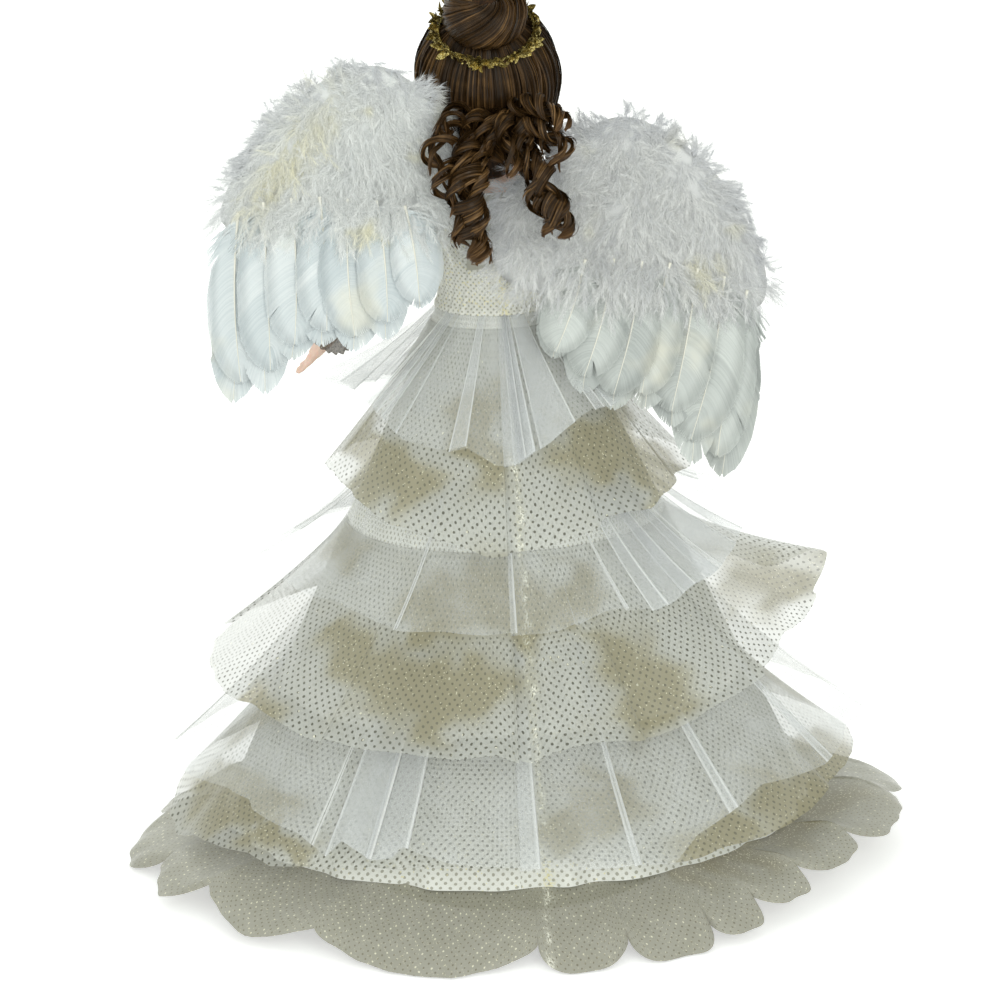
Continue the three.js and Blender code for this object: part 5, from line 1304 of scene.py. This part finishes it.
def make_eye(side, sign):
    """A glass eye, the lid above it, and its lashes."""
    centre = on_face(sign * EYE_SHARE[0], EYE_SHARE[1]) + np.array([0, 2.1 * MM, 0])
    centre = centre + np.array([0, EYE_RADIUS * 0.72, 0])
    ball = unit_ball(np.linspace(0.01, math.pi * 0.6, 40), 48)
    uvs = ball[..., :2]
    glass = centre + EYE_RADIUS * ball[..., [0, 2, 1]] * np.array([1, -1, 1])
    place(new_object(f"eye_{side}", glass, grid_faces(40, 48, True), uvs), "eye", "doll", None)
    turn = np.linspace(0.1 * math.pi, 0.9 * math.pi, 40)
    tilt = mix(1.35, 0.4, np.linspace(-0.1, 1, 14)[:, None])
    rise = np.sin(turn)
    lid = np.stack([np.cos(turn) * 1.04 + 0 * tilt, -rise * np.cos(tilt), rise * np.sin(tilt)], -1)
    lid = centre + EYE_RADIUS * 1.07 * lid
    thing = new_object(f"eyelid_{side}", lid, grid_faces(14, 40), np.zeros((14, 40, 2)))
    place(thing, "bisque", "doll", None)
    edge = lid[-1, 3:-3]
    count = 42
    root = edge[np.linspace(0, len(edge) - 1, count).astype(int)]
    away = unit(root - centre)[:, None]
    t = evenly(6)[:, None]
    reach = 2.6 * MM * np.random.default_rng(60 + sign).uniform(0.8, 1.15, (count, 1, 1))
    paths = root[:, None] + away * reach * t + np.array([0, 0, 1]) * reach * 0.7 * t ** 2
    lashes = strips(paths, 0.09 * MM * (1 - 0.85 * t[:, 0]), facing(paths, away))
    place(new_object(f"lashes_{side}", *lashes[:3]), "lash", "doll", None)


# Arms

SHOULDER = np.array([41.5, 0, 298]) * MM
UPPER_DOWN = unit(np.array([0.47, -0.28, -0.84]))
UPPER_LENGTH = 49.5 * MM
UPPER_RADIUS = 6.8 * MM
ELBOW = SHOULDER + UPPER_DOWN * UPPER_LENGTH
FORE_DOWN = unit(np.array([0.53, -0.42, -0.74]))
FORE_LENGTH = 35 * MM
FORE_RADIUS = 4.8 * MM
SLEEVE_SHARES = ((-0.1, 1.15), (0.02, 1.3), (0.12, 1.75), (0.3, 2.05), (0.5, 2.08), (0.7, 1.8), (0.84, 1.2),
                 (0.88, 1.16))
CUFF_SHARES = ((0.14, 1.12), (0.22, 1.3), (0.34, 1.55), (0.48, 1.85), (0.62, 2.2))


def arm_tube(start, direction, shares, length, radius, seed, pleats, depth, sign):
    """A gathered tube of cloth round an arm, in small pleats."""
    rows, columns = 20, 150
    fine = curve_through(shares, rows)
    across = unit(np.array([1, 0, 0]) - direction * direction[0])
    up = np.cross(direction, across)
    turn = np.linspace(0, TAU, columns)
    wave = np.sin(pleats * turn + 1.5 * np.sin(2 * turn + seed)) + 0.4 * wander(turn * 3, seed)
    fold = depth * wave * smooth(0, 0.3, evenly(rows))[:, None]
    reach = fine[:, 1:2] * radius + fold
    spoke = across * np.cos(turn)[:, None] + up * np.sin(turn)[:, None]
    points = start + direction * (fine[:, :1, None] * length) + spoke * reach[..., None]
    return cloth_from(points * np.array([sign, 1, 1]), seed)


def smooth_copy(node, name, body, material, passes, size):
    """A smooth stand-in for a faceted CAD piece: its own shape, remeshed finely and relaxed."""
    source = bpy.data.objects[node]
    thing = add_object(name, source.data.copy())
    thing.matrix_world = source.matrix_world.copy()
    thing.data.materials.clear()
    remesh = thing.modifiers.new("Fine mesh", "REMESH")
    remesh.mode = "VOXEL"
    remesh.voxel_size = size
    relax = thing.modifiers.new("Rounding", "CORRECTIVE_SMOOTH")
    relax.iterations = passes
    relax.use_only_smooth = True
    graph = bpy.context.evaluated_depsgraph_get()
    shaped = bpy.data.meshes.new_from_object(thing.evaluated_get(graph))
    thing.modifiers.clear()
    thing.data = shaped
    thing.data.name = name
    thing.data.polygons.foreach_set("use_smooth", np.ones(len(thing.data.polygons), bool))
    return place(thing, material, body, node)


# Materials that aren't cloth

def hair_material(dark, light):
    shade, where = new_material("brown_hair", "Object")
    streak = shade.noise(where, 160, 2)
    lightness = shade.maths("ADD", shade.times(shade.value_of("tone"), 0.62), shade.times(streak, 0.38))
    base = shade.blend(shade.between(lightness, 0.25, 0.75), dark, light)
    base = shade.blend(shade.between(lightness, 0.56, 0.8), base, paint(132, 100, 62))
    ends = shade.times(shade.between(shade.value_of("along"), 0.8, 1), 0.3)
    return shade.surface(Base_Color=shade.blend(ends, base, paint(124, 88, 52)), Specular_IOR_Level=0.2,
                         Roughness=shade.between(streak, 0.3, 0.7, 0.3, 0.42))


def scalp_material():
    """The matted hair under the loose strands."""
    shade, where = new_material("brown_hair_under", "Object")
    stretched = shade.add("ShaderNodeMapping", {"Vector": where, "Scale": (1, 1, 0.12)}).outputs[0]
    streak = shade.noise(stretched, 900)
    return shade.surface(
        Base_Color=shade.blend(shade.between(streak, 0.35, 0.68), paint(32, 20, 10), paint(66, 44, 24)),
        Roughness=shade.between(streak, 0.3, 0.7, 0.5, 0.7), Normal=shade.relief(streak, 0.3 * MM, 0.7),
        Specular_IOR_Level=0.15)


def feather_material(name, dark, pale):
    """Bleached goose feather: cool white vanes, a clear quill, and a few creamy places."""
    shade, where = new_material(name, "Object")
    base = shade.blend(shade.value_of("tint"), dark, pale)
    cream = shade.between(shade.noise(where, 26), 0.56, 0.74, 0, 0.55)
    base = shade.blend(cream, base, paint(242, 238, 220))
    fine = shade.between(shade.noise(where, 1200, 2), 0.5, 0.8, 0, 0.2)
    base = shade.blend(fine, base, paint(208, 213, 218))
    quill = shade.value_of("quill")
    fading = shade.times(shade.between(shade.value_of("along"), 0.4, 1), shade.value_of("soft"))
    return shade.surface(
        Base_Color=shade.blend(quill, base, paint(244, 241, 230)), Sheen_Weight=0.25, Specular_IOR_Level=0.35,
        Alpha=shade.between(fading, 0, 1, 1, 0.05), Roughness=shade.between(quill, 0, 1, 0.62, 0.3))


def down_material(name, deep, pale, cream):
    """Fluffy down: painted shade deep between the plumes, greyer at the rim, and creamy in places."""
    shade, where = new_material(name, "Object")
    cloud = shade.noise(where, 34)
    # Painted shade: darker deep in the plumes, mixed with a random tone for each plume
    lit = shade.times(shade.value_of("depth"), 0.6)
    lit = shade.maths("ADD", lit, shade.times(shade.value_of("tint"), 0.4))
    base = shade.blend(shade.between(lit, 0.1, 0.8), deep, pale)
    yellow = shade.maths("MAXIMUM", shade.times(shade.between(cloud, 0.6, 0.74), cream),
                         shade.times(shade.value_of("cream"), 0.8))
    base = shade.blend(yellow, base, paint(243, 238, 208))
    base = shade.blend(shade.times(shade.value_of("rim"), 0.5), base, paint(192, 193, 202))
    solid = shade.between(shade.value_of("along"), 0.2, 1, 0.9, 0.3)
    faint = shade.between(shade.value_of("thin"), 0, 1, 1, 0.42)
    return shade.surface(
        Base_Color=base, Alpha=shade.times(solid, faint), Specular_IOR_Level=0.15, Sheen_Weight=0.4,
        Roughness=shade.between(cloud, 0.3, 0.7, 0.85, 0.98))


def spot(shade, where, centre, size, edge):
    """A soft oval of paint on the face: its mask, from its centre and half sizes in metres."""
    apart = shade.vector("SUBTRACT", where, tuple(centre))
    reach = shade.vector("LENGTH", shade.vector("DIVIDE", apart, tuple(size)))
    return shade.between(reach, 1 + edge, 1 - edge)


def bisque_material(deep, pale):
    """Matt fired bisque with rosy cheeks and lips, and thin painted brows."""
    shade, where = new_material("painted_bisque", "Object")
    base = shade.blend(shade.between(shade.noise(where, 60), 0.3, 0.7), deep, pale)
    folded = shade.vector("ABSOLUTE", where)
    in_front = shade.maths("LESS_THAN", shade.add("ShaderNodeSeparateXYZ", {0: where}).outputs[1], -14 * MM)
    cheek = spot(shade, folded, np.abs(on_face(0.52, -0.28)), (7 * MM, 9 * MM, 6 * MM), 0.7)
    base = shade.blend(shade.times(shade.times(cheek, in_front), 0.5), base, paint(226, 138, 128))
    lip_place = on_face(0, -0.5) - np.array([0, 1 * MM, 0])
    lips = shade.times(spot(shade, where, lip_place, (4.4 * MM, 6 * MM, 2 * MM), 0.18), in_front)
    base = shade.blend(shade.times(lips, 0.85), base, paint(190, 78, 78))
    brow = np.abs(on_face(0.36, 0.27))
    x, y, z = shade.add("ShaderNodeSeparateXYZ", {0: folded}).outputs
    arch = shade.times(shade.maths("POWER", shade.maths("SUBTRACT", x, float(brow[0])), 2), -45)
    flat = shade.add("ShaderNodeCombineXYZ", {0: x, 1: y, 2: shade.maths("SUBTRACT", z, arch)})
    line = spot(shade, flat.outputs[0], brow, (5.2 * MM, 8 * MM, 0.55 * MM), 0.35)
    return shade.surface(
        Base_Color=shade.blend(shade.times(shade.times(line, in_front), 0.75), base, paint(110, 74, 52)),
        Roughness=shade.between(lips, 0, 1, 0.46, 0.25),
        Normal=shade.relief(shade.noise(where, 2200, 2), 0.02 * MM, 0.4),
        Subsurface_Weight=0.12, Subsurface_Scale=2 * MM)


def eye_material():
    """A brown glass eye, laid out so that its pupil is at the middle of its uvs."""
    shade, where = new_material("glass_eye", "UV")
    reach = shade.vector("LENGTH", where)
    rays = shade.noise(where, 26, 2)
    iris = shade.blend(shade.between(rays, 0.35, 0.7), paint(70, 44, 26), paint(134, 92, 54))
    iris = shade.blend(shade.between(reach, 0.5, 0.58), iris, paint(36, 22, 14))
    base = shade.blend(shade.between(reach, 0.57, 0.6), iris, paint(240, 238, 233))
    return shade.surface(
        Base_Color=shade.blend(shade.between(reach, 0.24, 0.22), base, paint(12, 9, 8)),
        Roughness=shade.between(rays, 0, 1, 0.06, 0.12), Coat_Weight=1, Coat_Roughness=0.03)


def gilt_material(dark, bright):
    """Gold glitter leaf over pressed metal, with olive painted shade in patches."""
    shade, where = new_material("gold_glitter_leaf", "Object")
    flakes = shade.group("glitter", Place=where, Scale=2400, Share=0.45, Size=0.6)
    # Painted shade: olive patches over the gold
    base = shade.blend(shade.between(shade.noise(where, 420), 0.35, 0.65), dark, bright)
    return shade.surface(
        Base_Color=shade.blend(shade.times(flakes["Flake"], 0.7), base, paint(238, 222, 152)),
        Roughness=shade.between(flakes["Tint"], 0, 1, 0.22, 0.55),
        Normal=shade.relief(flakes["Tint"], 0.12 * MM, 0.8), Metallic=0.85)


def plain_material(name, base, dark, roughness, scale=300, metallic=0, bump_height=0.05 * MM):
    """A fibre or metal surface whose shade and roughness vary a little."""
    shade, where = new_material(name, "Object")
    grain = shade.group("grain", Place=where, Scale=scale)
    return shade.surface(
        Base_Color=shade.blend(shade.times(grain["Shade"], 0.7), base, dark),
        Roughness=shade.between(grain["Height"], 0.2, 0.8, roughness - 0.06, roughness + 0.08),
        Normal=shade.relief(grain["Height"], bump_height, 0.6), Metallic=metallic)


def build_materials(colours):
    build_groups()
    return {
        "tulle": tulle_material(),
        "dotted": net_material("dotted_net", colours.net, colours.gold_layer, colours.net_dots,
                               0.46, 0.78, 4.4 * MM, 0.72 * MM, 0.04, 0.67),
        "glitter": net_material("glitter_net", colours.flounce, paint(152, 146, 122), paint(120, 114, 94),
                                0.9, 0.9, 3.7 * MM, 0.5 * MM, 0.14, 0.54),
        "satin": satin_material("dotted_satin", colours.satin, 0.02, 4.2 * MM),
        "bodice": satin_material("glitter_satin", colours.bodice, 0.12, 2.7 * MM),
        "cuff": net_material("dark_net", colours.cuffs, paint(104, 96, 84), paint(60, 54, 48),
                             0.9, 0.95, 2.6 * MM, 0.45 * MM, 0.05, 0.6),
        "hair": hair_material(colours.hair_dark, colours.hair_light),
        "scalp": scalp_material(),
        # The right wing's feathers and down are greyer copies of the left's: painted shade
        "feather_left": feather_material("white_feather", paint(196, 206, 211), colours.left_feathers),
        "feather_right": feather_material("white_feather_painted_shade", paint(164, 169, 168), colours.right_feathers),
        "down_left": down_material("white_down", paint(228, 230, 231), colours.left_down, 0.7),
        "down_right": down_material("white_down_painted_shade", paint(212, 213, 216), colours.right_down, 0.4),
        "bisque": bisque_material(paint(240, 203, 184), colours.bisque),
        "eye": eye_material(),
        "lash": plain_material("lashes", paint(44, 30, 22), paint(24, 16, 12), 0.5),
        "gilt": gilt_material(paint(98, 84, 38), colours.gilt),
        "card": plain_material("grey_board", paint(214, 206, 190), paint(176, 166, 146), 0.85, 420),
        "cone": plain_material("paper_board", paint(226, 222, 212), paint(196, 190, 176), 0.82, 380),
        "wire": plain_material("steel_wire", paint(176, 176, 174), paint(120, 120, 118), 0.38, 900, 0.9),
        "cloth": plain_material("muslin", paint(226, 214, 196), paint(196, 182, 160), 0.9, 1500,
                                bump_height=0.12 * MM),
    }


# Settings that a user of the add-on may change

def colour(name, description, red, green, blue):
    return bpy.props.FloatVectorProperty(name=name, description=description, subtype="COLOR", size=4,
                                         min=0, max=1, default=paint(red, green, blue))


def distance(name, description, default, low, high):
    return bpy.props.FloatProperty(name=name, description=description, default=default, min=low, max=high,
                                   subtype="DISTANCE", unit="LENGTH")


def number(name, description, default, low, high):
    return bpy.props.IntProperty(name=name, description=description, default=default, min=low, max=high)


class AngelColourSettings(bpy.types.PropertyGroup):
    net: colour("Net", "Dotted net of the skirt", 217, 218, 211)
    net_dots: colour("Dots", "Printed dots of the skirt's net", 70, 68, 52)
    gold_layer: colour("Gold layer", "Patches that show through the net", 166, 159, 130)
    flounce: colour("Flounce", "Glitter net at the hem", 168, 166, 152)
    satin: colour("Lining", "Satin under the skirt", 240, 240, 235)
    bodice: colour("Bodice", "Satin of bodice and sleeves", 236, 235, 228)
    cuffs: colour("Cuffs", "Net of the cuffs", 120, 110, 100)
    hair_dark: colour("Dark hair", "Darkest strands of the wig", 38, 25, 10)
    hair_light: colour("Light hair", "Usual strands of the wig", 82, 58, 31)
    left_feathers: colour("Left feathers", "Vanes of the left wing", 240, 244, 246)
    # The right wing's colours are greyer than the left's: painted shade
    right_feathers: colour("Right feathers", "Vanes of the right wing", 222, 226, 223)
    left_down: colour("Left down", "Fluff of the left wing", 249, 250, 249)
    right_down: colour("Right down", "Fluff of the right wing", 243, 243, 242)
    gilt: colour("Crown", "Gilt of the leaves", 172, 150, 76)
    bisque: colour("Bisque", "Skin of head and hands", 247, 214, 197)


class AngelSkirtSettings(bpy.types.PropertyGroup):
    seed: number("Pleats", "Which chance set of pleats the tiers take", 11, 0, 9999)


class AngelWingSettings(bpy.types.PropertyGroup):
    barbs: number("Barbs", "Barbs on each side of a long feather", 120, 20, 300)
    plumes: number("Down plumes", "Plumes of down on the back of each wing", 820, 50, 1200)
    plume_length: distance("Plume length", "Length of a usual plume of down", 9 * MM, 2 * MM, 30 * MM)


class AngelHairSettings(bpy.types.PropertyGroup):
    strands: number("Strands", "Strands drawn back over the wig", 4200, 200, 9000)
    strand_width: distance("Strand width", "Half the width of a strand", 0.17 * MM, 0.05 * MM, 1 * MM)


class AngelStageSettings(bpy.types.PropertyGroup):
    key_power: bpy.props.FloatProperty(name="Main light", description="Power of the large soft light",
                                       default=13, min=0, max=100, subtype="POWER", unit="POWER")


MATERIALS = {}


class ANGEL_OT_materials(bpy.types.Operator):
    """Make the materials of the cloths, feathers, hair, bisque and metal"""
    bl_idname = "angel.materials"
    bl_label = "Make materials"

    def execute(self, context):
        MATERIALS.update(build_materials(context.scene.angel_colours))
        return {"FINISHED"}


class ANGEL_OT_skirt(bpy.types.Operator):
    """Make the satin underskirt, the six tiers of net and the glitter flounce"""
    bl_idname = "angel.skirt"
    bl_label = "Make skirt"

    def execute(self, context):
        seed = context.scene.angel_skirt.seed
        for i, (tier, marks) in enumerate(zip(TIERS, HEM_MARKS)):
            cloth = tier_mesh(tier, marks, seed + 7 * i)
            material, slot = ("tulle", "tulle") if "arcs" in tier else ("dotted", "dotted_net")
            hang_cloth(f"cloth_{tier['name']}", cloth, material, "doll", tier["name"])
        hang_cloth("cloth_lining", lining_mesh(seed), "satin", "doll", "skirt_lining")
        hang_cloth("cloth_flounce", flounce_mesh(seed + 90), "glitter", "doll", "hem_flounce_net")
        return {"FINISHED"}


class ANGEL_OT_bodice(bpy.types.Operator):
    """Make the satin bodice and the stuffed body under it"""
    bl_idname = "angel.bodice"
    bl_label = "Make bodice"

    def execute(self, context):
        hang_cloth("cloth_bodice", bodice_mesh(31), "bodice", "doll", "bodice")
        trunk = smooth_copy("cloth_trunk", "stuffed_trunk", "doll", "cloth", 8, 1.2 * MM)
        return {"FINISHED"}


class ANGEL_OT_wings(bpy.types.Operator):
    """Make the feathers and the down of both wings"""
    bl_idname = "angel.wings"
    bl_label = "Make wings"

    def execute(self, context):
        for index, side in enumerate(WING_SIDES):
            make_feathers(context.scene.angel_wings, side, index)
            make_down(context.scene.angel_wings, side, index)
        return {"FINISHED"}


class ANGEL_OT_hair(bpy.types.Operator):
    """Make the hair over the wig, the bun and the ringlets"""
    bl_idname = "angel.hair"
    bl_label = "Make hair"

    def execute(self, context):
        settings = context.scene.angel_hair
        rng = np.random.default_rng(400)
        width = settings.strand_width
        paths, lock = cap_hair(rng, settings.strands)
        hair_object("combed_hair", rng, (paths, lock, unit((paths - WIG_CENTRE) / WIG_HALF ** 2)), width)
        smooth_copy("wig_cap", "matted_wig", "doll", "scalp", 6, 0.9 * MM)
        paths, lock = bun_hair(rng, settings.strands // 2)
        hair_object("coiled_bun", rng, (paths, lock, unit(paths - BUN_CENTRE)), width)
        smooth_copy("hair_bun", "bun_core", "doll", "scalp", 6, 0.9 * MM)
        curls = [curled_hair(rng, shape, NAPE_CENTRE, NAPE_HALF, 70) for shape in nape_curls(rng)]
        hair_object("nape_curls", rng, [np.concatenate(parts) for parts in zip(*curls)], width * 1.2)
        for i, shape in enumerate(LOOSE_CURLS):
            curl = curled_hair(rng, shape, NAPE_CENTRE, NAPE_HALF, 120)
            hair_object(f"loose_curl_{i + 1}", rng, curl, width * 1.2)
        for name, shape in RINGLETS.items():
            curl = curled_hair(rng, shape, NAPE_CENTRE, NAPE_HALF, 160)
            hair_object(f"hair_{name}", rng, curl, width * 1.3, name)
        paths, lock, outward = curled_hair(rng, TEMPLE_RINGLET, HEAD_CENTRE, HEAD_HALF, 80)
        for side, sign in SIDES.items():
            mirror = np.array([sign, 1, 1])
            hair_object(f"hair_temple_{side}", rng, (paths * mirror, lock, outward * mirror), width * 1.2,
                        f"ringlet_temple_{side}")
        return {"FINISHED"}


CROWN_RADIUS = 20.8 * MM
CROWN_LEAVES = 220
CROWN_BEADS = 120


class ANGEL_OT_crown(bpy.types.Operator):
    """Make the crown of gilt leaves"""
    bl_idname = "angel.crown"
    bl_label = "Make crown"

    def execute(self, context):
        middle = np.array(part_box("leaf_crown")).mean(0)
        centre = WIG_CENTRE + TILT_AXIS * ((middle - WIG_CENTRE) @ TILT_AXIS - 1 * MM)
        rng = np.random.default_rng(500)
        turn = np.linspace(0, TAU, 200)
        spoke = tilted_spoke(turn)
        parts = []
        for phase in (0, math.pi):
            radius = CROWN_RADIUS + 0.55 * MM * np.cos(28 * turn + phase)
            rise = 0.55 * MM * np.sin(28 * turn + phase)
            wire = centre + spoke * radius[:, None] + TILT_AXIS * rise[:, None]
            parts.append((tube_rings(wire, np.full(200, 0.4 * MM), 6), grid_faces(200, 6, True), None, {}))
        for _ in range(CROWN_LEAVES):
            angle = rng.uniform(0, TAU)
            spoke = tilted_spoke(angle)
            root = centre + spoke * (CROWN_RADIUS + rng.uniform(-0.6, 0.9) * MM)
            root = root + TILT_AXIS * rng.uniform(-1.2, 1.4) * MM
            ahead = tilted_spoke(angle + math.pi / 2) * rng.choice([-1, 1]) * rng.uniform(0.3, 1)
            ahead = unit(ahead + TILT_AXIS * rng.normal(0.35, 0.5) + spoke * rng.uniform(0.1, 0.75))
            parts.append(leaf_part(root, ahead, spoke, rng.uniform(3.4, 6.6) * MM))
        ball = unit_ball(np.linspace(0.05, math.pi - 0.05, 7), 9)
        for _ in range(CROWN_BEADS):
            spoke = tilted_spoke(rng.uniform(0, TAU))
            bead = centre + spoke * (CROWN_RADIUS + rng.uniform(0.4, 2.4) * MM)
            bead = bead + TILT_AXIS * rng.uniform(-1.6, 2.2) * MM
            parts.append((bead + ball * rng.uniform(0.45, 0.85) * MM, grid_faces(7, 9, True), None, {}))
        place(new_object("gilt_leaf_crown", *merged(parts)), "gilt", "doll", "leaf_crown")
        return {"FINISHED"}


def leaf_part(root, ahead, outward, length):
    """A pressed leaf with a crease down its middle and a bent tip."""
    side = unit(np.cross(ahead, outward))
    up = np.cross(side, ahead)
    share = evenly(8)[:, None]
    width = length * 0.27 * np.sin(math.pi * share ** 0.8) ** 0.8
    across = np.array([-1, -0.5, 0, 0.5, 1])[None, :]
    rise = length * (0.07 * np.abs(across) * np.sin(math.pi * share) + 0.14 * share ** 2)
    points = (root + ahead * (length * share)[..., None] + side * (width * across)[..., None]
              + up * rise[..., None])
    return points, grid_faces(8, 5), None, {}


class ANGEL_OT_head(bpy.types.Operator):
    """Make the bisque head and shoulders with their painted face and glass eyes"""
    bl_idname = "angel.head"
    bl_label = "Make head"

    def execute(self, context):
        make_head()
        for side, sign in SIDES.items():
            make_eye(side, sign)
        return {"FINISHED"}


class ANGEL_OT_arms(bpy.types.Operator):
    """Make the stuffed arms, the bisque hands, the sleeves and the cuffs"""
    bl_idname = "angel.arms"
    bl_label = "Make arms"

    def execute(self, context):
        for side, sign in SIDES.items():
            upper = smooth_copy(f"upper_arm_{side}", f"stuffed_arm_{side}", f"arm_{side}", "cloth",
                                4, 0.8 * MM)
            smooth_copy(f"forearm_{side}", f"bisque_hand_{side}", f"forearm_{side}", "bisque",
                        5, 0.35 * MM)
            sleeve = arm_tube(SHOULDER, UPPER_DOWN, SLEEVE_SHARES, UPPER_LENGTH, UPPER_RADIUS, 41, 17,
                              0.55 * MM, sign)
            hang_cloth(f"puff_sleeve_{side}", sleeve, "bodice", f"arm_{side}", f"sleeve_{side}")
            cuff = arm_tube(ELBOW, FORE_DOWN, CUFF_SHARES, FORE_LENGTH, FORE_RADIUS, 47, 15, 0.6 * MM, sign)
            hang_cloth(f"net_cuff_{side}", cuff, "cuff", f"forearm_{side}", f"cuff_{side}")
        return {"FINISHED"}


class ANGEL_OT_frame_parts(bpy.types.Operator):
    """Give the CAD pieces that stay in sight their materials"""
    bl_idname = "angel.frame_parts"
    bl_label = "Finish frame parts"

    def execute(self, context):
        finishes = {"treetop_cone": "cone", "arm_wire": "wire", "wing_plate": "satin"}
        for side in SIDES:
            finishes |= {f"wing_stud_{side}": "wire", f"wing_wire_{side}": "wire"}
            finishes[f"wing_card_{side}"] = "card"
        for node, finish in finishes.items():
            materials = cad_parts[node].data.materials
            materials.clear()
            materials.append(MATERIALS[finish])
        return {"FINISHED"}


class ANGEL_OT_stage(bpy.types.Operator):
    """Make the floor, the lights and the camera"""
    bl_idname = "angel.stage"
    bl_label = "Make stage"

    def execute(self, context):
        make_floor()
        make_lights(context.scene)
        make_camera(context.scene)
        return {"FINISHED"}


# The faint green of the photograph's light
ROOM_TINT = (0.965, 1, 0.95)
FLOOR_REACH = 6
FLOOR_DEPTH = 0.1 * MM


def make_floor():
    """A pale floor that keeps the shadow and shows white to the camera, in mirrors and through glass."""
    corners = np.array([[-1, -1, 0], [1, -1, 0], [1, 1, 0], [-1, 1, 0]]) * FLOOR_REACH
    floor = new_object("floor", corners - np.array([0, 0, FLOOR_DEPTH]), np.array([[0, 1, 2, 3]]))
    material = bpy.data.materials.new("studio_white")
    material.use_nodes = True
    shade = Shade(material.node_tree, material)
    shade.surface(Base_Color=paint(243, 243, 243), Roughness=0.9)
    nodes = material.node_tree.nodes
    plain = nodes["Principled BSDF"].outputs[0]
    rays = shade.add("ShaderNodeLightPath").outputs
    seen = shade.maths("ADD", rays["Is Camera Ray"], rays["Is Transmission Ray"], clamp=True)
    seen = shade.maths("ADD", seen, rays["Is Glossy Ray"], clamp=True)
    glow = shade.add("ShaderNodeEmission", {"Color": (1, 1, 1, 1), "Strength": 0.46})
    both = shade.add("ShaderNodeAddShader", {0: plain, 1: glow.outputs[0]})
    choose = shade.add("ShaderNodeMixShader", {0: seen, 1: plain, 2: both.outputs[0]})
    shade.feed(nodes["Material Output"].inputs["Surface"], choose.outputs[0])
    floor.data.materials.append(material)


def make_lights(scene):
    world = bpy.data.worlds.new("soft_room")
    world.use_nodes = True
    background = world.node_tree.nodes["Background"]
    background.inputs["Color"].default_value = ROOM_TINT + (1,)
    background.inputs["Strength"].default_value = 0.72
    scene.world = world
    middle = Vector((0, 0, 0.2))
    for name, where, size, share in (("main_light", (-0.6, 1.9, 1.05), 1.1, 1),
                                     ("fill_light", (1.5, 1.2, 0.9), 1.5, 0.4),
                                     ("front_light", (0.5, -1.7, 1.2), 1.4, 0.6)):
        light = bpy.data.lights.new(name, "AREA")
        light.size = size
        light.color = ROOM_TINT
        light.energy = scene.angel_stage.key_power * share
        thing = add_object(name, light)
        thing.location = where
        thing.rotation_mode = "QUATERNION"
        thing.rotation_quaternion = (middle - Vector(where)).to_track_quat("-Z", "Y")


def make_camera(scene):
    """The photograph's own viewpoint: behind the doll and a little above it, leaning slightly."""
    camera = bpy.data.cameras.new("photo_camera")
    camera.lens = camera.sensor_width * VIEW_DISTANCE / (2 * MIDDLE_PIXEL * PIXEL_SIZE)
    thing = add_object("photo_camera", camera)
    eye = VIEW_TARGET + VIEW_BACK * VIEW_DISTANCE
    off_x = (MIDDLE_PIXEL - TARGET_PIXEL[0]) * PIXEL_SIZE
    off_y = (TARGET_PIXEL[1] - MIDDLE_PIXEL) * PIXEL_SIZE
    unrolled_x = off_x * math.cos(VIEW_ROLL) + off_y * math.sin(VIEW_ROLL)
    unrolled_y = off_y * math.cos(VIEW_ROLL) - off_x * math.sin(VIEW_ROLL)
    look_at = VIEW_TARGET + VIEW_RIGHT * unrolled_x + VIEW_UP * unrolled_y
    thing.location = Vector(eye)
    thing.rotation_mode = "QUATERNION"
    upright = Vector(look_at - eye).normalized().to_track_quat("-Z", "Y")
    thing.rotation_quaternion = upright @ Quaternion((0, 0, 1), -VIEW_ROLL)
    scene.camera = thing


class ANGEL_PT_maker(bpy.types.Panel):
    """Buttons that make the angel, in order"""
    bl_idname = "ANGEL_PT_maker"
    bl_label = "Treetop angel"
    bl_space_type = "VIEW_3D"
    bl_region_type = "UI"
    bl_category = "Angel"

    def draw(self, context):
        for title, group in SETTINGS.items():
            for setting in group.__annotations__:
                self.layout.prop(getattr(context.scene, title), setting)
        for operator in MAKERS:
            self.layout.operator(operator.bl_idname)


MAKERS = (ANGEL_OT_materials, ANGEL_OT_skirt, ANGEL_OT_bodice, ANGEL_OT_wings, ANGEL_OT_hair, ANGEL_OT_crown,
          ANGEL_OT_head, ANGEL_OT_arms, ANGEL_OT_frame_parts, ANGEL_OT_stage)
SETTINGS = {"angel_colours": AngelColourSettings, "angel_skirt": AngelSkirtSettings,
            "angel_wings": AngelWingSettings, "angel_hair": AngelHairSettings,
            "angel_stage": AngelStageSettings}


def register():
    for title, group in SETTINGS.items():
        bpy.utils.register_class(group)
        setattr(bpy.types.Scene, title, bpy.props.PointerProperty(type=group))
    for kind in MAKERS + (ANGEL_PT_maker,):
        bpy.utils.register_class(kind)


def unregister():
    for kind in (ANGEL_PT_maker,) + MAKERS[::-1]:
        bpy.utils.unregister_class(kind)
    for title, group in SETTINGS.items():
        delattr(bpy.types.Scene, title)
        bpy.utils.unregister_class(group)


def main():
    """Make the angel and its stage."""
    register()
    bpy.context.scene.view_settings.view_transform = "Standard"
    bpy.ops.angel.materials()
    bpy.ops.angel.skirt()
    bpy.ops.angel.bodice()
    bpy.ops.angel.wings()
    bpy.ops.angel.hair()
    bpy.ops.angel.crown()
    bpy.ops.angel.head()
    bpy.ops.angel.arms()
    bpy.ops.angel.frame_parts()
    bpy.ops.angel.stage()


if __name__ == "__main__":
    main()
